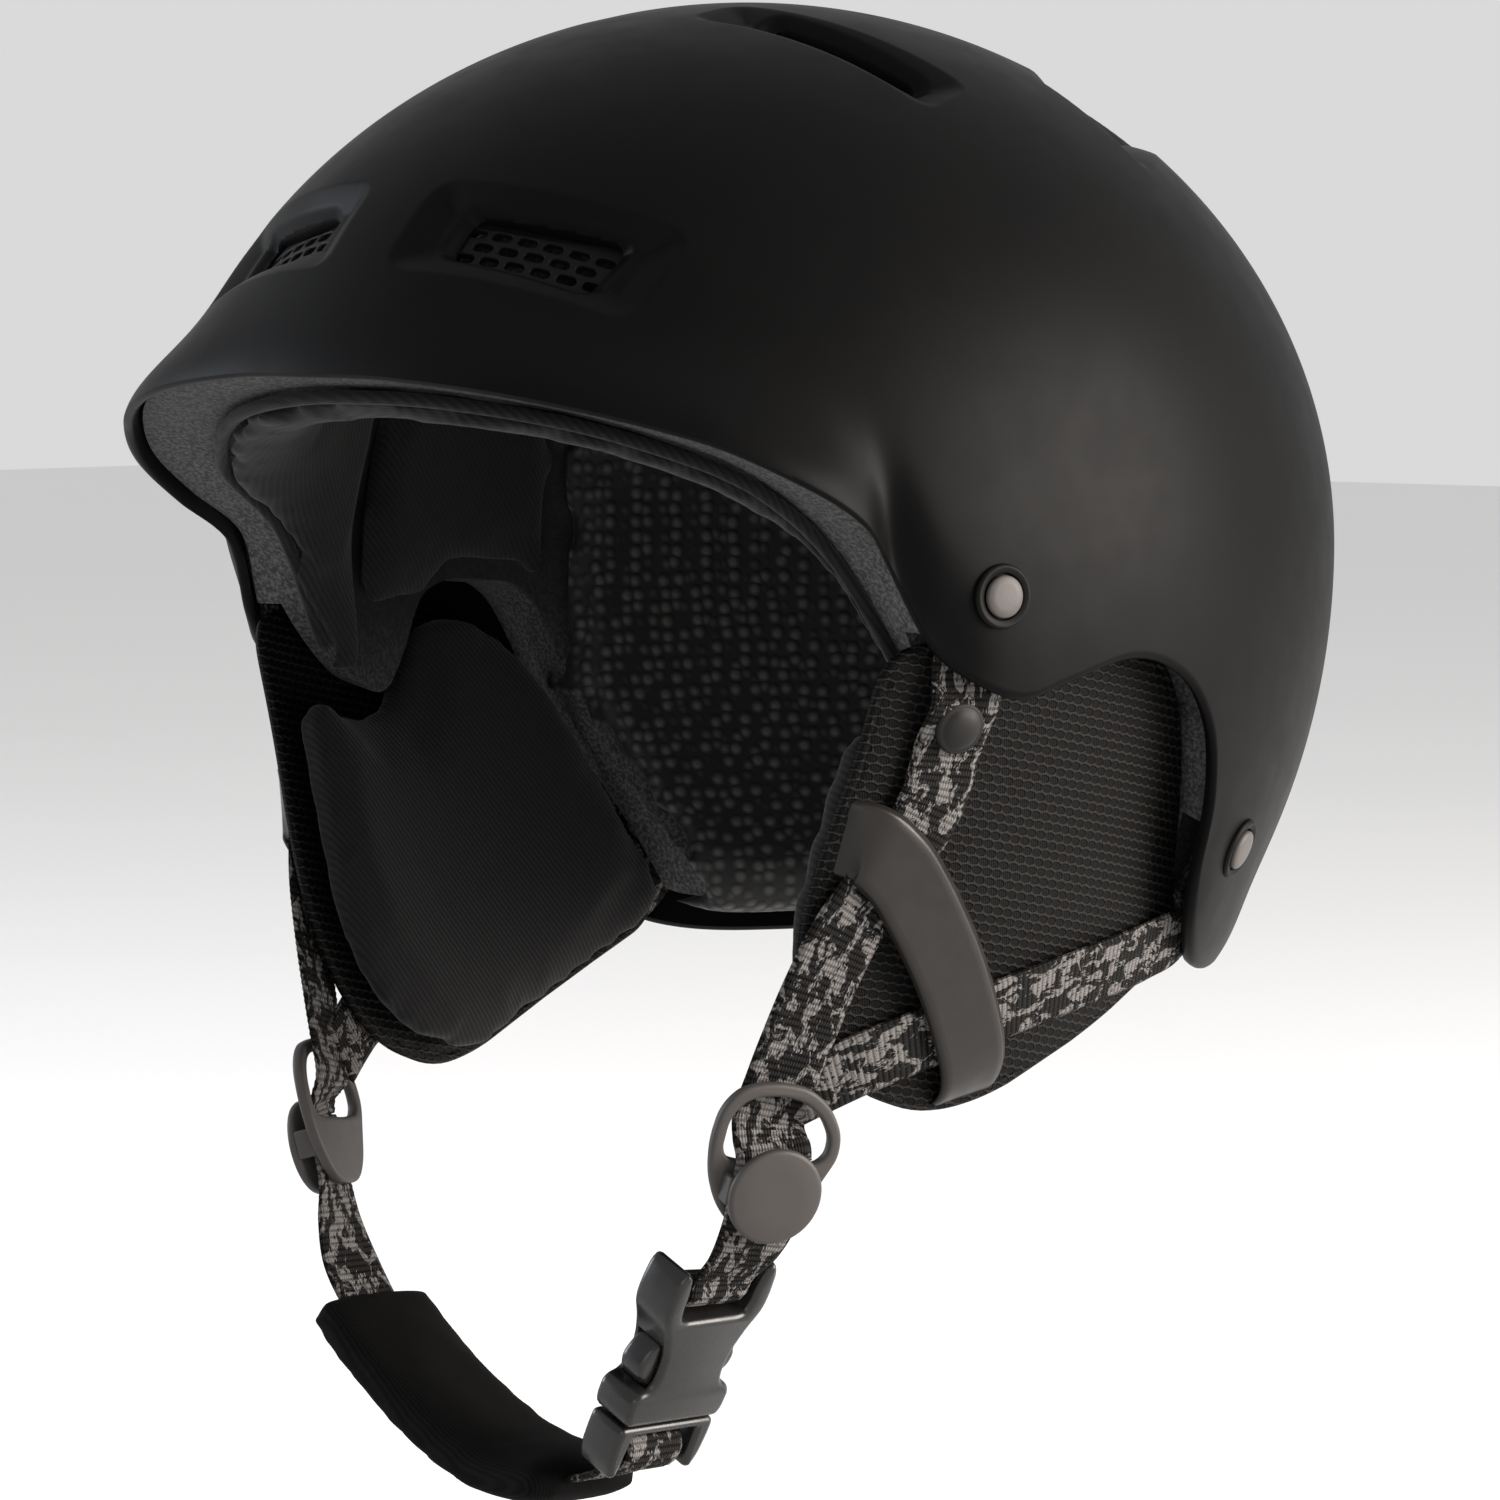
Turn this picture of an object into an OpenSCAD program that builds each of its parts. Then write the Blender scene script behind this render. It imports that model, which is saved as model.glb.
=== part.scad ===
// Ski helmet with ear pads, chin strap and side-release buckle.
// Front of the helmet is -Y, the wearer's left is +X, up is +Z.
// The origin is the centre of the wearer's head.

/* [Shell] */
// Outside width of the shell, ear to ear
shell_w = 216; // [212:1:218]
// Outside length of the shell, brow to nape
shell_l = 268; // [264:1:270]
// Height of the crown above the widest level
crown_h = 111; // [109:1:113]
// Depth scale of the sides below the widest level
skirt_h = 134; // [132:1:136]
// Height of the widest level above the head centre
equator_z = 40; // [39:1:41]
// Thickness of the hard shell
shell_t = 2.4; // [2:0.1:2.6]
// Thickness of the foam liner
foam_t = 19; // [17:0.5:19]
// Thickness of the comfort padding
padding_t = 6; // [4:0.5:7]
// Free space between two layers
layer_gap = 0.8; // [0.7:0.1:1]

/* [Ear pads] */
// Distance of the pad's outer face from the middle plane, at the hinge
pad_x = 98; // [97:0.5:98]
// Lean of the pads, top outwards, in degrees
pad_lean = 17.2; // [16:0.2:18]
// Radius of the pad's outer face, seen from above
pad_r = 156; // [150:1:160]
// Thickness of the outer mesh
mesh_t = 2.5; // [2:0.1:2.5]
// Thickness of the foam core
core_t = 8; // [6:0.5:8]
// Thickness of the inner lining
lining_t = 2; // [1.5:0.1:2.5]

/* [Straps] */
// Width of the webbing
webbing_w = 16; // [15:0.5:16]
// Thickness of the webbing
webbing_t = 1.6; // [1.2:0.1:1.8]
// Width of the plastic band that holds the straps on the pad
band_w = 16; // [14:0.5:17]
// Thickness of that band
band_t = 1.8; // [1.5:0.1:2]
// Radius of the round cap on each strap divider
cap_r = 9; // [8.8:0.1:9.4]

/* [Chin] */
// Width of the buckle at its mouth
buckle_w = 29; // [28:0.5:30]
// Length of the buckle's socket half
socket_l = 36; // [35:0.5:37]
// Thickness of the buckle
buckle_t = 10.4; // [10:0.1:10.8]
// Width of the chin pad
chin_pad_w = 32; // [28:1:34]
// Thickness of the chin pad
chin_pad_t = 11; // [10:0.5:12]

/* [Goggle clip] */
// Width of the clip's flexible tab
tab_w = 26; // [22:1:30]
// Length of the tab below its hinge
tab_l = 46; // [42:1:50]

/* [Hidden] */

// Colours
black = [0.06, 0.06, 0.065];
charcoal = [0.16, 0.155, 0.15];
foam_grey = [0.3, 0.3, 0.31];
webbing_grey = [0.24, 0.235, 0.23];
plastic_brown = [0.38, 0.35, 0.33];

// Half sizes of the shell
half_w = shell_w / 2;
half_l = shell_l / 2;
foam_out = shell_t + layer_gap;
foam_in = foam_out + foam_t;
padding_gap = 1.2;
padding_out = foam_in + padding_gap;
padding_in = padding_out + padding_t;
// Angular steps around the head, wide and narrow, and rows between a rim and the crown
turn_step = 8;
fine_step = 4;
fine_from = 56;
fine_to = 112;
rim_rows = 12;

// Rim of the shell: angle from the brow, height, outward flare
shell_rim = [[0, 77.7, 2], [12, 77.3, 3], [28, 73.7, 7], [44, 66, 9], [53, 57.5, 8],
    [59, 49.5, 3], [62.5, 41, -5], [66.5, 26, -4.2], [71, 18.5, -0.8], [75.5, 15.6, 0],
    [80, 18.4, 0], [88, 22.6, 0], [95, 18.2, 0], [100.5, 7, 0], [104, -8, 0],
    [106.5, -23, 0], [111, -35, 1], [119, -43, 2], [135, -45, 3], [160, -42, 3],
    [180, -40, 3]];
// Lower edge of the foam liner on its inner side: angle from the brow, height
foam_rim = [[0, 73.5], [28, 69.5], [44, 61.5], [53, 53], [59, 44], [64, 31], [69, 17],
    [73, 10], [77, 9.5], [81, 16], [86, 29], [95, 31], [102, 26], [107, 4], [110, -14],
    [114, -28], [121, -36], [150, -36], [180, -35]];
// Half the angle that the brow padding covers, and the side padding's far end
brow_turn = 72;
side_turn = 112;
// Heights where the padding panels meet
brow_top_z = 95;
side_top_z = 76;
side_low_z = 34;
panel_gap = 1.2;

// Hermite curve through rows of [position, value, ...]
function span_of(rows, t, i = 0) =
    i >= len(rows) - 2 || t < rows[i + 1][0] ? i : span_of(rows, t, i + 1);
function slope_at(rows, i, c) =
    i == 0 || i == len(rows) - 1 ? 0
    : (rows[i + 1][c] - rows[i - 1][c]) / (rows[i + 1][0] - rows[i - 1][0]);
function curve(rows, t, c = 1) =
    let (i = span_of(rows, t), w = rows[i + 1][0] - rows[i][0], u = (t - rows[i][0]) / w)
    rows[i][c] * (2 * pow(u, 3) - 3 * u * u + 1)
    + slope_at(rows, i, c) * w * (pow(u, 3) - 2 * u * u + u)
    + rows[i + 1][c] * (3 * u * u - 2 * pow(u, 3))
    + slope_at(rows, i + 1, c) * w * (pow(u, 3) - u * u);

// The dome: every layer of the helmet is this surface, set in by some distance
function turn_off_brow(t) = let (a = abs(t) % 360) a > 180 ? 360 - a : a;
function height_scale(z, inset) = (z > equator_z ? crown_h : skirt_h) - inset;
function rise_at(z, inset) = asin((z - equator_z) / height_scale(z, inset));
function dome_point(t, rise, inset) =
    [(half_w - inset) * cos(rise) * sin(t),
     -(half_l - inset) * cos(rise) * cos(t),
     equator_z + ((rise > 0 ? crown_h : skirt_h) - inset) * sin(rise)];
function dome_x(y, z, inset) =
    (half_w - inset) * sqrt(1 - pow(y / (half_l - inset), 2)
    - pow((z - equator_z) / height_scale(z, inset), 2));
function dome_normal(t, rise) =
    let (p = dome_point(t, rise, 0), h = rise > 0 ? crown_h : skirt_h,
         n = [p[0] / pow(half_w, 2), p[1] / pow(half_l, 2), (p[2] - equator_z) / pow(h, 2)])
    n / norm(n);
// The rim flares outwards and fades away over flare_h above it
flare_h = 12;
function flare_at(t, above) =
    curve(shell_rim, turn_off_brow(t), 2) * exp(-pow(above / flare_h, 2));
function outward(t) = [sin(t), -cos(t), 0];

// Triangles for a grid of rows by cols points that starts at point number first
function grid_faces(rows, cols, first, flip) =
    [for (r = [0 : rows - 2], c = [0 : cols - 2])
        let (a = first + r * cols + c, b = a + 1, d = a + cols, e = d + 1)
        each flip ? [[a, d, b], [b, d, e]] : [[a, b, d], [b, e, d]]];
function strip_faces(edge, back, flip) =
    [for (i = [0 : len(edge) - 2])
        let (a = edge[i], b = edge[i + 1], d = back[i], e = back[i + 1])
        each flip ? [[a, d, b], [b, d, e]] : [[a, b, d], [b, e, d]]];

// Closed solid between two grids of points of the same size
module slab(outer, inner) {
    rows = len(outer);
    cols = len(outer[0]);
    count = rows * cols;
    left = [for (r = [0 : rows - 1]) r * cols];
    right = [for (r = [0 : rows - 1]) r * cols + cols - 1];
    low = [for (c = [0 : cols - 1]) c];
    high = [for (c = [0 : cols - 1]) (rows - 1) * cols + c];
    polyhedron(
        points = [for (row = outer) each row, for (row = inner) each row],
        faces = concat(
            grid_faces(rows, cols, 0, true),
            grid_faces(rows, cols, count, false),
            strip_faces(low, [for (i = low) i + count], false),
            strip_faces(high, [for (i = high) i + count], true),
            strip_faces(left, [for (i = left) i + count], true),
            strip_faces(right, [for (i = right) i + count], false)));
}

// Closed solid all round the head, from a rim up over the crown
module cap_layer(outer, inner) {
    rows = len(outer);
    cols = len(outer[0]);
    count = rows * cols;
    function around(r, first) =
        [for (c = [0 : cols]) first + r * cols + c % cols];
    function band(first, flip) = [for (r = [0 : rows - 2])
        each strip_faces(around(r, first), around(r + 1, first), flip)];
    function fan(first, tip, flip) =
        let (ring = around(rows - 1, first))
        [for (c = [0 : cols - 1]) flip ? [ring[c + 1], ring[c], tip] : [ring[c], ring[c + 1], tip]];
    outer_tip = 2 * count;
    inner_tip = outer_tip + 1;
    polyhedron(
        points = concat([for (row = outer) each row], [for (row = inner) each row],
            [crown_of(outer), crown_of(inner)]),
        faces = concat(band(0, true), band(count, false),
            fan(0, outer_tip, true), fan(count, inner_tip, false),
            strip_faces(around(0, 0), around(0, count), false)));
}
function crown_of(rows) =
    let (ring = rows[len(rows) - 1], z = [for (p = ring) p[2]])
    [0, 0, max(z) + crown_lift];
crown_lift = 0.6;

// Rows of points from a rim height to the crown, closer together near the rim
crown_rise = 84;
row_growth = 1.1;
function row_rise(low, k) = low + (crown_rise - low) * pow(k / rim_rows, row_growth);
function half_turn() = [for (t = [turn_step : turn_step : fine_from - fine_step]) t,
    for (t = [fine_from : fine_step : fine_to]) t,
    for (t = [fine_to + turn_step : turn_step : 180 - turn_step]) t];
function full_turn() = let (half = half_turn(), count = len(half))
    concat([0], half, [180], [for (i = [count - 1 : -1 : 0]) 360 - half[i]]);

// Shapes of the vents: turn, rise, corners of the hole, slot direction
front_hole = [[-14, 10], [20, 2.5], [13, -11], [-18, -1]];
front_turn = 23;
front_rise = 35;
top_hole = [[-13, 20], [-1, 25], [16, -9], [6, -15]];
top_turn = 70;
top_rise = 65;
rear_hole = [[-14, -8], [-8, 9], [17, 8], [20, -4]];
rear_turn = 131;
rear_rise = 53;
vent_round = 2.5;
grille_t = 1.6;
grille_depth = 5;
grille_gap = 0.15;

// Stand a shape on the shell: Z outwards, X level, Y up the shell
module on_shell(t, rise) {
    n = dome_normal(t, rise);
    u = cross([0, 0, 1], n) / norm(cross([0, 0, 1], n));
    v = cross(n, u);
    p = dome_point(t, rise, 0);
    multmatrix([[u[0], v[0], n[0], p[0]], [u[1], v[1], n[1], p[1]], [u[2], v[2], n[2], p[2]]])
        children();
}
module both_sides() {
    children();
    mirror([1, 0, 0]) children();
}
module vent_outline(corners, shrink = 0) {
    offset(r = vent_round - shrink, $fn = 24) offset(delta = -vent_round) polygon(corners);
}
vent_cut_deep = 40;
vent_cut_out = 12;
module vent_cut(t, rise, corners) {
    on_shell(t, rise) translate([0, 0, -vent_cut_deep])
        linear_extrude(vent_cut_deep + vent_cut_out) vent_outline(corners);
}
module vent_cuts() {
    both_sides() {
        vent_cut(front_turn, front_rise, front_hole);
        vent_cut(top_turn, top_rise, top_hole);
        vent_cut(rear_turn, rear_rise, rear_hole);
    }
}

// Grille: a thin plate with staggered slots
slot_l = 4.6;
slot_w = 2;
slot_pitch_x = 6.6;
slot_pitch_y = 3.7;
module slot() {
    square([slot_l - slot_w, slot_w], center = true);
    for (side = [-1, 1]) translate([side * (slot_l - slot_w) / 2, 0]) circle(d = slot_w, $fn = 8);
}
module grille(t, rise, corners, slant, columns, lines) {
    on_shell(t, rise) translate([0, 0, -grille_depth])
        linear_extrude(grille_t) difference() {
            vent_outline(corners, grille_gap);
            rotate(slant)
                for (i = [-columns : columns], j = [-lines : lines])
                    translate([(i + (j % 2 == 0 ? 0 : 0.5)) * slot_pitch_x, j * slot_pitch_y])
                        slot();
        }
}

// Rivets that hold the strap ends
front_rivet = [-40.5, 35];
rear_rivet = [49, -19.3];
rivet_head_r = 4.2;
rivet_head_h = 1.6;
rivet_shank_r = 2.2;
rivet_shank_l = 12;
washer_r = 6.2;
washer_h = 0.9;
seat_gap = 0.25;
rivet_hole_r = 2.6;
module at_side(place) {
    y = place[0];
    z = place[1];
    h = z > equator_z ? crown_h : skirt_h;
    on_shell(atan2(dome_x(y, z, 0) / half_w, -y / half_l), asin((z - equator_z) / h)) children();
}
module at_rivets() {
    both_sides() for (place = [front_rivet, rear_rivet]) at_side(place) children();
}
module rivet_holes() {
    at_rivets() translate([0, 0, -vent_cut_deep / 2])
        cylinder(r = rivet_hole_r, h = vent_cut_deep, $fn = 24);
}

// Surface of the ear pad: a leaning cylinder
lean_run = tan(pad_lean);
pad_hinge_z = 20;
pad_axis_x = pad_x - pad_r / cos(pad_lean);
function pad_face(y, z, off) =
    [pad_axis_x + lean_run * (z - pad_hinge_z) + sqrt(pow(pad_r + off, 2) - y * y) / cos(pad_lean),
     y, z];
function pad_normal(y, off = 0) =
    let (s = y / (pad_r + off), c = sqrt(1 - s * s))
    [c * cos(pad_lean), s, -c * sin(pad_lean)];
mesh_outline = [[-57, 25], [-58, 2], [-61, -20], [-61, -36], [-54, -52], [-42, -63.5],
    [-24, -69.5], [-8, -67], [22, -54.5], [43, -44.5], [47.5, -39], [43, -28], [35, -6],
    [27, 10], [14, 22], [0, 26], [-20, 26], [-40, 26]];
core_outline = [[-55, 3], [-59, -20], [-59, -36], [-52.5, -50.5], [-41, -61.5],
    [-24, -67.5], [-8, -65], [22, -52.5], [42, -42.5], [45, -38], [41, -28], [33, -6],
    [25, 9], [12, 20], [-2, 23], [-14, 17], [-22, 5], [-38, 1]];
outline_round = 4;
module pad_prism(outline, grow = 0) {
    rotate([90, 0, 90]) linear_extrude(shell_w)
        offset(r = outline_round + grow, $fn = 32) offset(delta = -outline_round) polygon(outline);
}
pad_tube_l = 400;
module pad_tube(inner, outer) {
    translate([pad_axis_x - lean_run * pad_hinge_z, 0, 0]) rotate([0, pad_lean, 0])
        translate([0, 0, -pad_tube_l / 2]) difference() {
            cylinder(r = pad_r + outer, h = pad_tube_l, $fn = 180);
            translate([0, 0, -1]) cylinder(r = pad_r + inner, h = pad_tube_l + 2, $fn = 180);
        }
}
module pad_layer(outline, inner, outer, grow = 0) {
    intersection() {
        pad_tube(inner, outer);
        pad_prism(outline, grow);
    }
}
ply_gap = 0.2;
core_out = -mesh_t - ply_gap;
core_in = core_out - core_t;
lining_out = core_in - ply_gap;
lining_in = lining_out - lining_t;
pad_room = 5.5;
pad_room_edge = 3;

// Ribbons: a flat strap along a list of points; widthways says where its width lies
function direction(points, i) =
    let (a = points[max(i - 1, 0)], b = points[min(i + 1, len(points) - 1)])
    (b - a) / norm(b - a);
module ribbon(points, widthways, wide, thick) {
    count = len(points);
    rings = [for (i = [0 : count - 1])
        let (w = widthways[i] / norm(widthways[i]), n = cross(direction(points, i), w),
             out = n / norm(n) * thick / 2, side = w * wide / 2)
        [points[i] - side - out, points[i] + side - out, points[i] + side + out,
         points[i] - side + out]];
    function joint_faces(i) = [for (k = [0 : 3])
        let (a = 4 * i + k, b = 4 * i + (k + 1) % 4, d = a + 4, e = b + 4)
        each [[a, d, b], [b, d, e]]];
    last = 4 * (count - 1);
    polyhedron(
        points = [for (ring = rings) each ring],
        faces = concat([[0, 1, 3], [1, 2, 3]],
            [for (i = [0 : count - 2]) each joint_faces(i)],
            [[last, last + 3, last + 1], [last + 1, last + 3, last + 2]]));
}
// Level direction along the shell's side at a point
function along_shell(p) = [-pow(half_w / half_l, 2) * p[1] / p[0], 1, 0];
function across_pad(points) = [for (i = [0 : len(points) - 1])
    cross(pad_normal(points[i][1]), direction(points, i))];

// Strap routes on the left side; the dividers sit over them, above the chin loop
strap_off = 1.7;
loop_y = -61.5;
divider_y = loop_y + 1.4;
divider_z = -76;
divider_off = strap_off + 1.5;
plate_t = 2;
strap_centre_off = strap_off + 5;
strap_inset = 6.6;
strap_rivet_run = 0.6;
front_route = [
    [dome_x(-40.5, 41, strap_inset), -40.5, 41],
    [dome_x(-40.5, 30, strap_inset), -40.5, 30],
    [dome_x(-41, 22, strap_inset + strap_rivet_run), -41, 22],
    [pad_face(-41, 14, strap_off + 1.6)[0], -41, 14],
    pad_face(-41, 6, strap_off), pad_face(-41.5, -4, strap_off),
    pad_face(-44.5, -13, strap_off), pad_face(-49, -22, strap_off),
    pad_face(-53.5, -31, strap_off), pad_face(-56.5, -42, strap_off),
    pad_face(-58.5, -53, strap_off), pad_face(-59.5, -60, strap_off),
    pad_face(-60.4, -67.2, strap_off + 0.1), pad_face(-61.2, -71.1, strap_off + 2.4),
    pad_face(loop_y, divider_z + 2.7, strap_centre_off - 0.9)];
rear_route = [
    [dome_x(49, -14, strap_inset), 49, -14],
    [dome_x(49.3, -23, strap_inset), 49.3, -23],
    [dome_x(49.3, -30, strap_inset + strap_rivet_run), 49.3, -30],
    pad_face(45, -36.5, strap_off + 1.3), pad_face(36, -39.3, strap_off),
    pad_face(25, -41.2, strap_off), pad_face(13, -43.2, strap_off),
    pad_face(0, -45.6, strap_off), pad_face(-13, -48.5, strap_off),
    pad_face(-26, -51.8, strap_off), pad_face(-39, -55.8, strap_off),
    pad_face(-46.5, -58.6, strap_off)];
// Route of the band over both straps, round the pad's front and lower edges
band_off = strap_off + webbing_t / 2 + 0.5 + band_t / 2;
band_route = [
    pad_face(-56, -12, lining_in - 2.2), pad_face(-63, -9, lining_in - 1.8),
    pad_face(-66, -8, -7), pad_face(-63.2, -8.5, band_off - 0.3),
    pad_face(-53, -14, band_off), pad_face(-45, -21, band_off),
    pad_face(-37, -30.5, band_off), pad_face(-29, -41, band_off),
    pad_face(-21, -53.5, band_off), pad_face(-16, -62.5, band_off),
    pad_face(-13, -70.2, band_off - 1), pad_face(-12, -73, -6),
    pad_face(-13, -70.8, lining_in - 1.9), pad_face(-16, -63, lining_in - 2.4)];
band_front_way = [0.28, 0.42, 0.86];
band_low_way = [0.1, 0.9, 0.42];
band_way = [for (i = [0 : len(band_route) - 1])
    i < 4 ? -band_front_way : i > 9 ? -band_low_way
    : cross(pad_normal(band_route[i][1]), direction(band_route, i))];

// Chin loop: it hangs in one upright plane across the helmet
divider_x = pad_face(loop_y, divider_z, strap_centre_off)[0];
divider_across = cross([sin(pad_lean), 0, cos(pad_lean)], pad_normal(loop_y, divider_off));
buckle_tilt = 28;
mouth = [31, -127];
down_way = [-sin(buckle_tilt), -cos(buckle_tilt)];
out_way = [cos(buckle_tilt), -sin(buckle_tilt)];
function loop_at(p) = [p[0], loop_y, p[1]];
function on_buckle(along, out) = mouth + down_way * along + out_way * out;
socket_bar = -30;
plug_bar = 9.5;
// Where the loop runs between a divider's plate and its cap
function under_cap(drop) = [divider_x - lean_run * drop, divider_z + 0.6 - drop];
lower_route = [under_cap(0), under_cap(6.5), under_cap(13), [54.4, -95],
    on_buckle(socket_bar - 2.5, 3.2), on_buckle(socket_bar + 3, 2.6)];
right_end = [for (drop = [13, 6.5, 0]) [-under_cap(drop)[0], under_cap(drop)[1]]];
chin_route = [on_buckle(plug_bar - 1.5, -3.2), on_buckle(plug_bar + 2.6, -3),
    [20, -140.4], [11, -142.4], [0, -142.2], [-10, -139.8], [-20, -135], [-30, -128.6],
    [-39, -121.6], [-47, -114.4], [-53.6, -105.5], [-57.2, -96.5], each right_end];
pad_first = 3;
pad_last = 9;
// The loop lies level at the chin and turns to face along each divider
twist_low = -106;
twist_high = -88;
function loop_width(p) =
    let (share = min(max((p[1] - twist_low) / (twist_high - twist_low), 0), 1),
         across = [divider_across[0] * sign(p[0]), divider_across[1], divider_across[2]])
    [0, 1, 0] * (1 - share) + across * share;
module loop_ribbon(route, wide, thick) {
    ribbon([for (p = route) loop_at(p)], [for (p = route) loop_width(p)], wide, thick);
}

// ---- Helmet ----
module outer_shell() {
    turns = full_turn();
    function skin(inset) = [for (k = [0 : rim_rows]) [for (t = turns)
        let (z0 = curve(shell_rim, turn_off_brow(t), 1), low = rise_at(z0, inset),
             p = dome_point(t, row_rise(low, k), inset))
        p + outward(t) * flare_at(t, p[2] - z0)]];
    color(black) difference() {
        cap_layer(skin(0), skin(shell_t));
        vent_cuts();
        rivet_holes();
    }
}

function foam_low(t) = curve(foam_rim, turn_off_brow(t));
function foam_edge(t) =
    max(curve(shell_rim, turn_off_brow(t)) + foam_edge_lift, foam_low(t));
foam_edge_lift = 1.5;
module foam_liner() {
    turns = full_turn();
    // The outer side follows the shell, and the edge slopes down and inwards
    function outer_skin() = [for (k = [0 : rim_rows]) [for (t = turns)
        let (p = dome_point(t, row_rise(rise_at(foam_edge(t), foam_out), k), foam_out))
        p + outward(t) * flare_at(t, p[2] - curve(shell_rim, turn_off_brow(t)))]];
    function inner_skin() = [for (k = [0 : rim_rows]) [for (t = turns)
        dome_point(t, row_rise(rise_at(foam_low(t), foam_in), k), foam_in)]];
    color(foam_grey) difference() {
        cap_layer(outer_skin(), inner_skin());
        vent_cuts();
        rivet_holes();
        both_sides() {
            pad_clearance();
            strap_channel(front_route);
            strap_channel(rear_route);
        }
    }
}

// Room in the foam and in the rear padding for the swinging ear pad
module pad_clearance() {
    pad_layer(mesh_outline, -pad_room, pad_room + mesh_t, pad_room_edge);
    pad_layer(core_outline, lining_in - pad_room - mesh_t, 0, pad_room_edge);
}
// Room in the foam for the riveted end of a strap
channel_room_w = 5;
channel_room_t = 9;
channel_end = 3;
module strap_channel(route) {
    inner_end = [for (i = [0 : channel_end]) route[i]];
    ribbon(inner_end, [for (p = inner_end) along_shell(p)],
        webbing_w + channel_room_w, webbing_t + channel_room_t);
}

// A panel of padding between two turns, from low(t) to high(t)
panel_rows = 5;
module panel(from, to, low, high) {
    steps = round((to - from) / turn_step);
    turns = [for (i = [0 : steps]) from + (to - from) * i / steps];
    function skin(inset) = [for (k = [0 : panel_rows]) [for (t = turns)
        let (a = rise_at(low(t), inset), b = rise_at(high(t), inset))
        dome_point(t, a + (b - a) * k / panel_rows, inset)]];
    slab(skin(padding_out), skin(padding_in));
}
brow_edge = 6;
temple_low = 22;
brow_low = function(t) max(foam_low(t) + brow_edge, temple_low);
brow_high = function(t) brow_top_z;
side_low = function(t) side_low_z;
side_high = function(t) side_top_z;
rear_low = function(t) foam_low(t) + panel_gap * 2;
module brow_pad() {
    color(black) panel(-brow_turn, brow_turn, brow_low, brow_high);
}
module side_pad() {
    color(black) panel(brow_turn + panel_gap, side_turn, side_low, side_high);
}
module side_pad_left() { side_pad(); }
module side_pad_right() { mirror([1, 0, 0]) side_pad(); }
module rear_pad() {
    color(black) difference() {
        panel(side_turn + panel_gap, 360 - side_turn - panel_gap, rear_low, side_high);
        both_sides() pad_clearance();
    }
}
module crown_pad() {
    turns = full_turn();
    edge_z = brow_top_z + panel_gap;
    function skin(inset) = [for (k = [0 : panel_rows]) [for (t = turns)
        let (low = rise_at(turn_off_brow(t) <= brow_turn ? edge_z : side_top_z + panel_gap, inset))
        dome_point(t, low + (crown_rise - low) * k / panel_rows, inset)]];
    color(black) cap_layer(skin(padding_out), skin(padding_in));
}

module front_grille() { color(charcoal) grille(front_turn, front_rise, front_hole, -15, 4, 4); }
module top_grille() { color(charcoal) grille(top_turn, top_rise, top_hole, -66, 5, 4); }
module rear_grille() { color(charcoal) grille(rear_turn, rear_rise, rear_hole, 4, 4, 3); }
module front_grille_left() { front_grille(); }
module front_grille_right() { mirror([1, 0, 0]) front_grille(); }
module top_grille_left() { top_grille(); }
module top_grille_right() { mirror([1, 0, 0]) top_grille(); }
module rear_grille_left() { rear_grille(); }
module rear_grille_right() { mirror([1, 0, 0]) rear_grille(); }

module strap_rivets() {
    color(plastic_brown) at_rivets() {
        translate([0, 0, seat_gap]) cylinder(r = rivet_head_r, h = rivet_head_h, $fn = 24);
        translate([0, 0, -rivet_shank_l]) cylinder(r = rivet_shank_r, h = rivet_shank_l + 1, $fn = 16);
    }
}
module rivet_washers() {
    color(charcoal) at_rivets() translate([0, 0, seat_gap]) difference() {
        cylinder(r = washer_r, h = washer_h, $fn = 24);
        translate([0, 0, -1]) cylinder(r = rivet_head_r + 0.3, h = washer_h + 2, $fn = 24);
    }
}

// ---- Straps held by the helmet ----
module front_strap() {
    color(webbing_grey) difference() {
        ribbon(front_route, [for (i = [0 : len(front_route) - 1])
            i < 4 ? along_shell(front_route[i]) : across_pad(front_route)[i]],
            webbing_w, webbing_t);
        rivet_holes();
    }
}
module rear_strap() {
    color(webbing_grey) difference() {
        ribbon(rear_route, [for (i = [0 : len(rear_route) - 1])
            i < 3 ? along_shell(rear_route[i]) : across_pad(rear_route)[i]],
            webbing_w - 2, webbing_t);
        rivet_holes();
    }
}
module front_strap_left() { front_strap(); }
module front_strap_right() { mirror([1, 0, 0]) front_strap(); }
module rear_strap_left() { rear_strap(); }
module rear_strap_right() { mirror([1, 0, 0]) rear_strap(); }

// ---- Ear pads ----
module pad_mesh() { color(charcoal) pad_layer(mesh_outline, -mesh_t, 0); }
module pad_foam() { color(foam_grey) pad_layer(core_outline, core_in, core_out); }
module pad_lining() { color(black) pad_layer(core_outline, lining_in, lining_out); }
module pad_band() { color(plastic_brown) ribbon(band_route, band_way, band_w, band_t); }
// Frame on the pad's surface: Z outwards, Y up the pad
module on_pad(y, z, off) {
    n = pad_normal(y, off);
    up = [sin(pad_lean), 0, cos(pad_lean)];
    u = cross(up, n) / norm(cross(up, n));
    v = cross(n, u);
    p = pad_face(y, z, off);
    multmatrix([[u[0], v[0], n[0], p[0]], [u[1], v[1], n[1], p[1]], [u[2], v[2], n[2], p[2]]])
        children();
}
snap_place = [-41, 9.5];
snap_r = 5.4;
snap_h = 2;
snap_off = strap_off + webbing_t / 2 + 1.9;
module pad_snap() {
    color(charcoal) on_pad(snap_place[0], snap_place[1], snap_off) intersection() {
        cylinder(r = snap_r, h = snap_h, $fn = 24);
        translate([0, 0, snap_h - 2.5 * snap_r]) sphere(r = 2.5 * snap_r, $fn = 24);
    }
}
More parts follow.
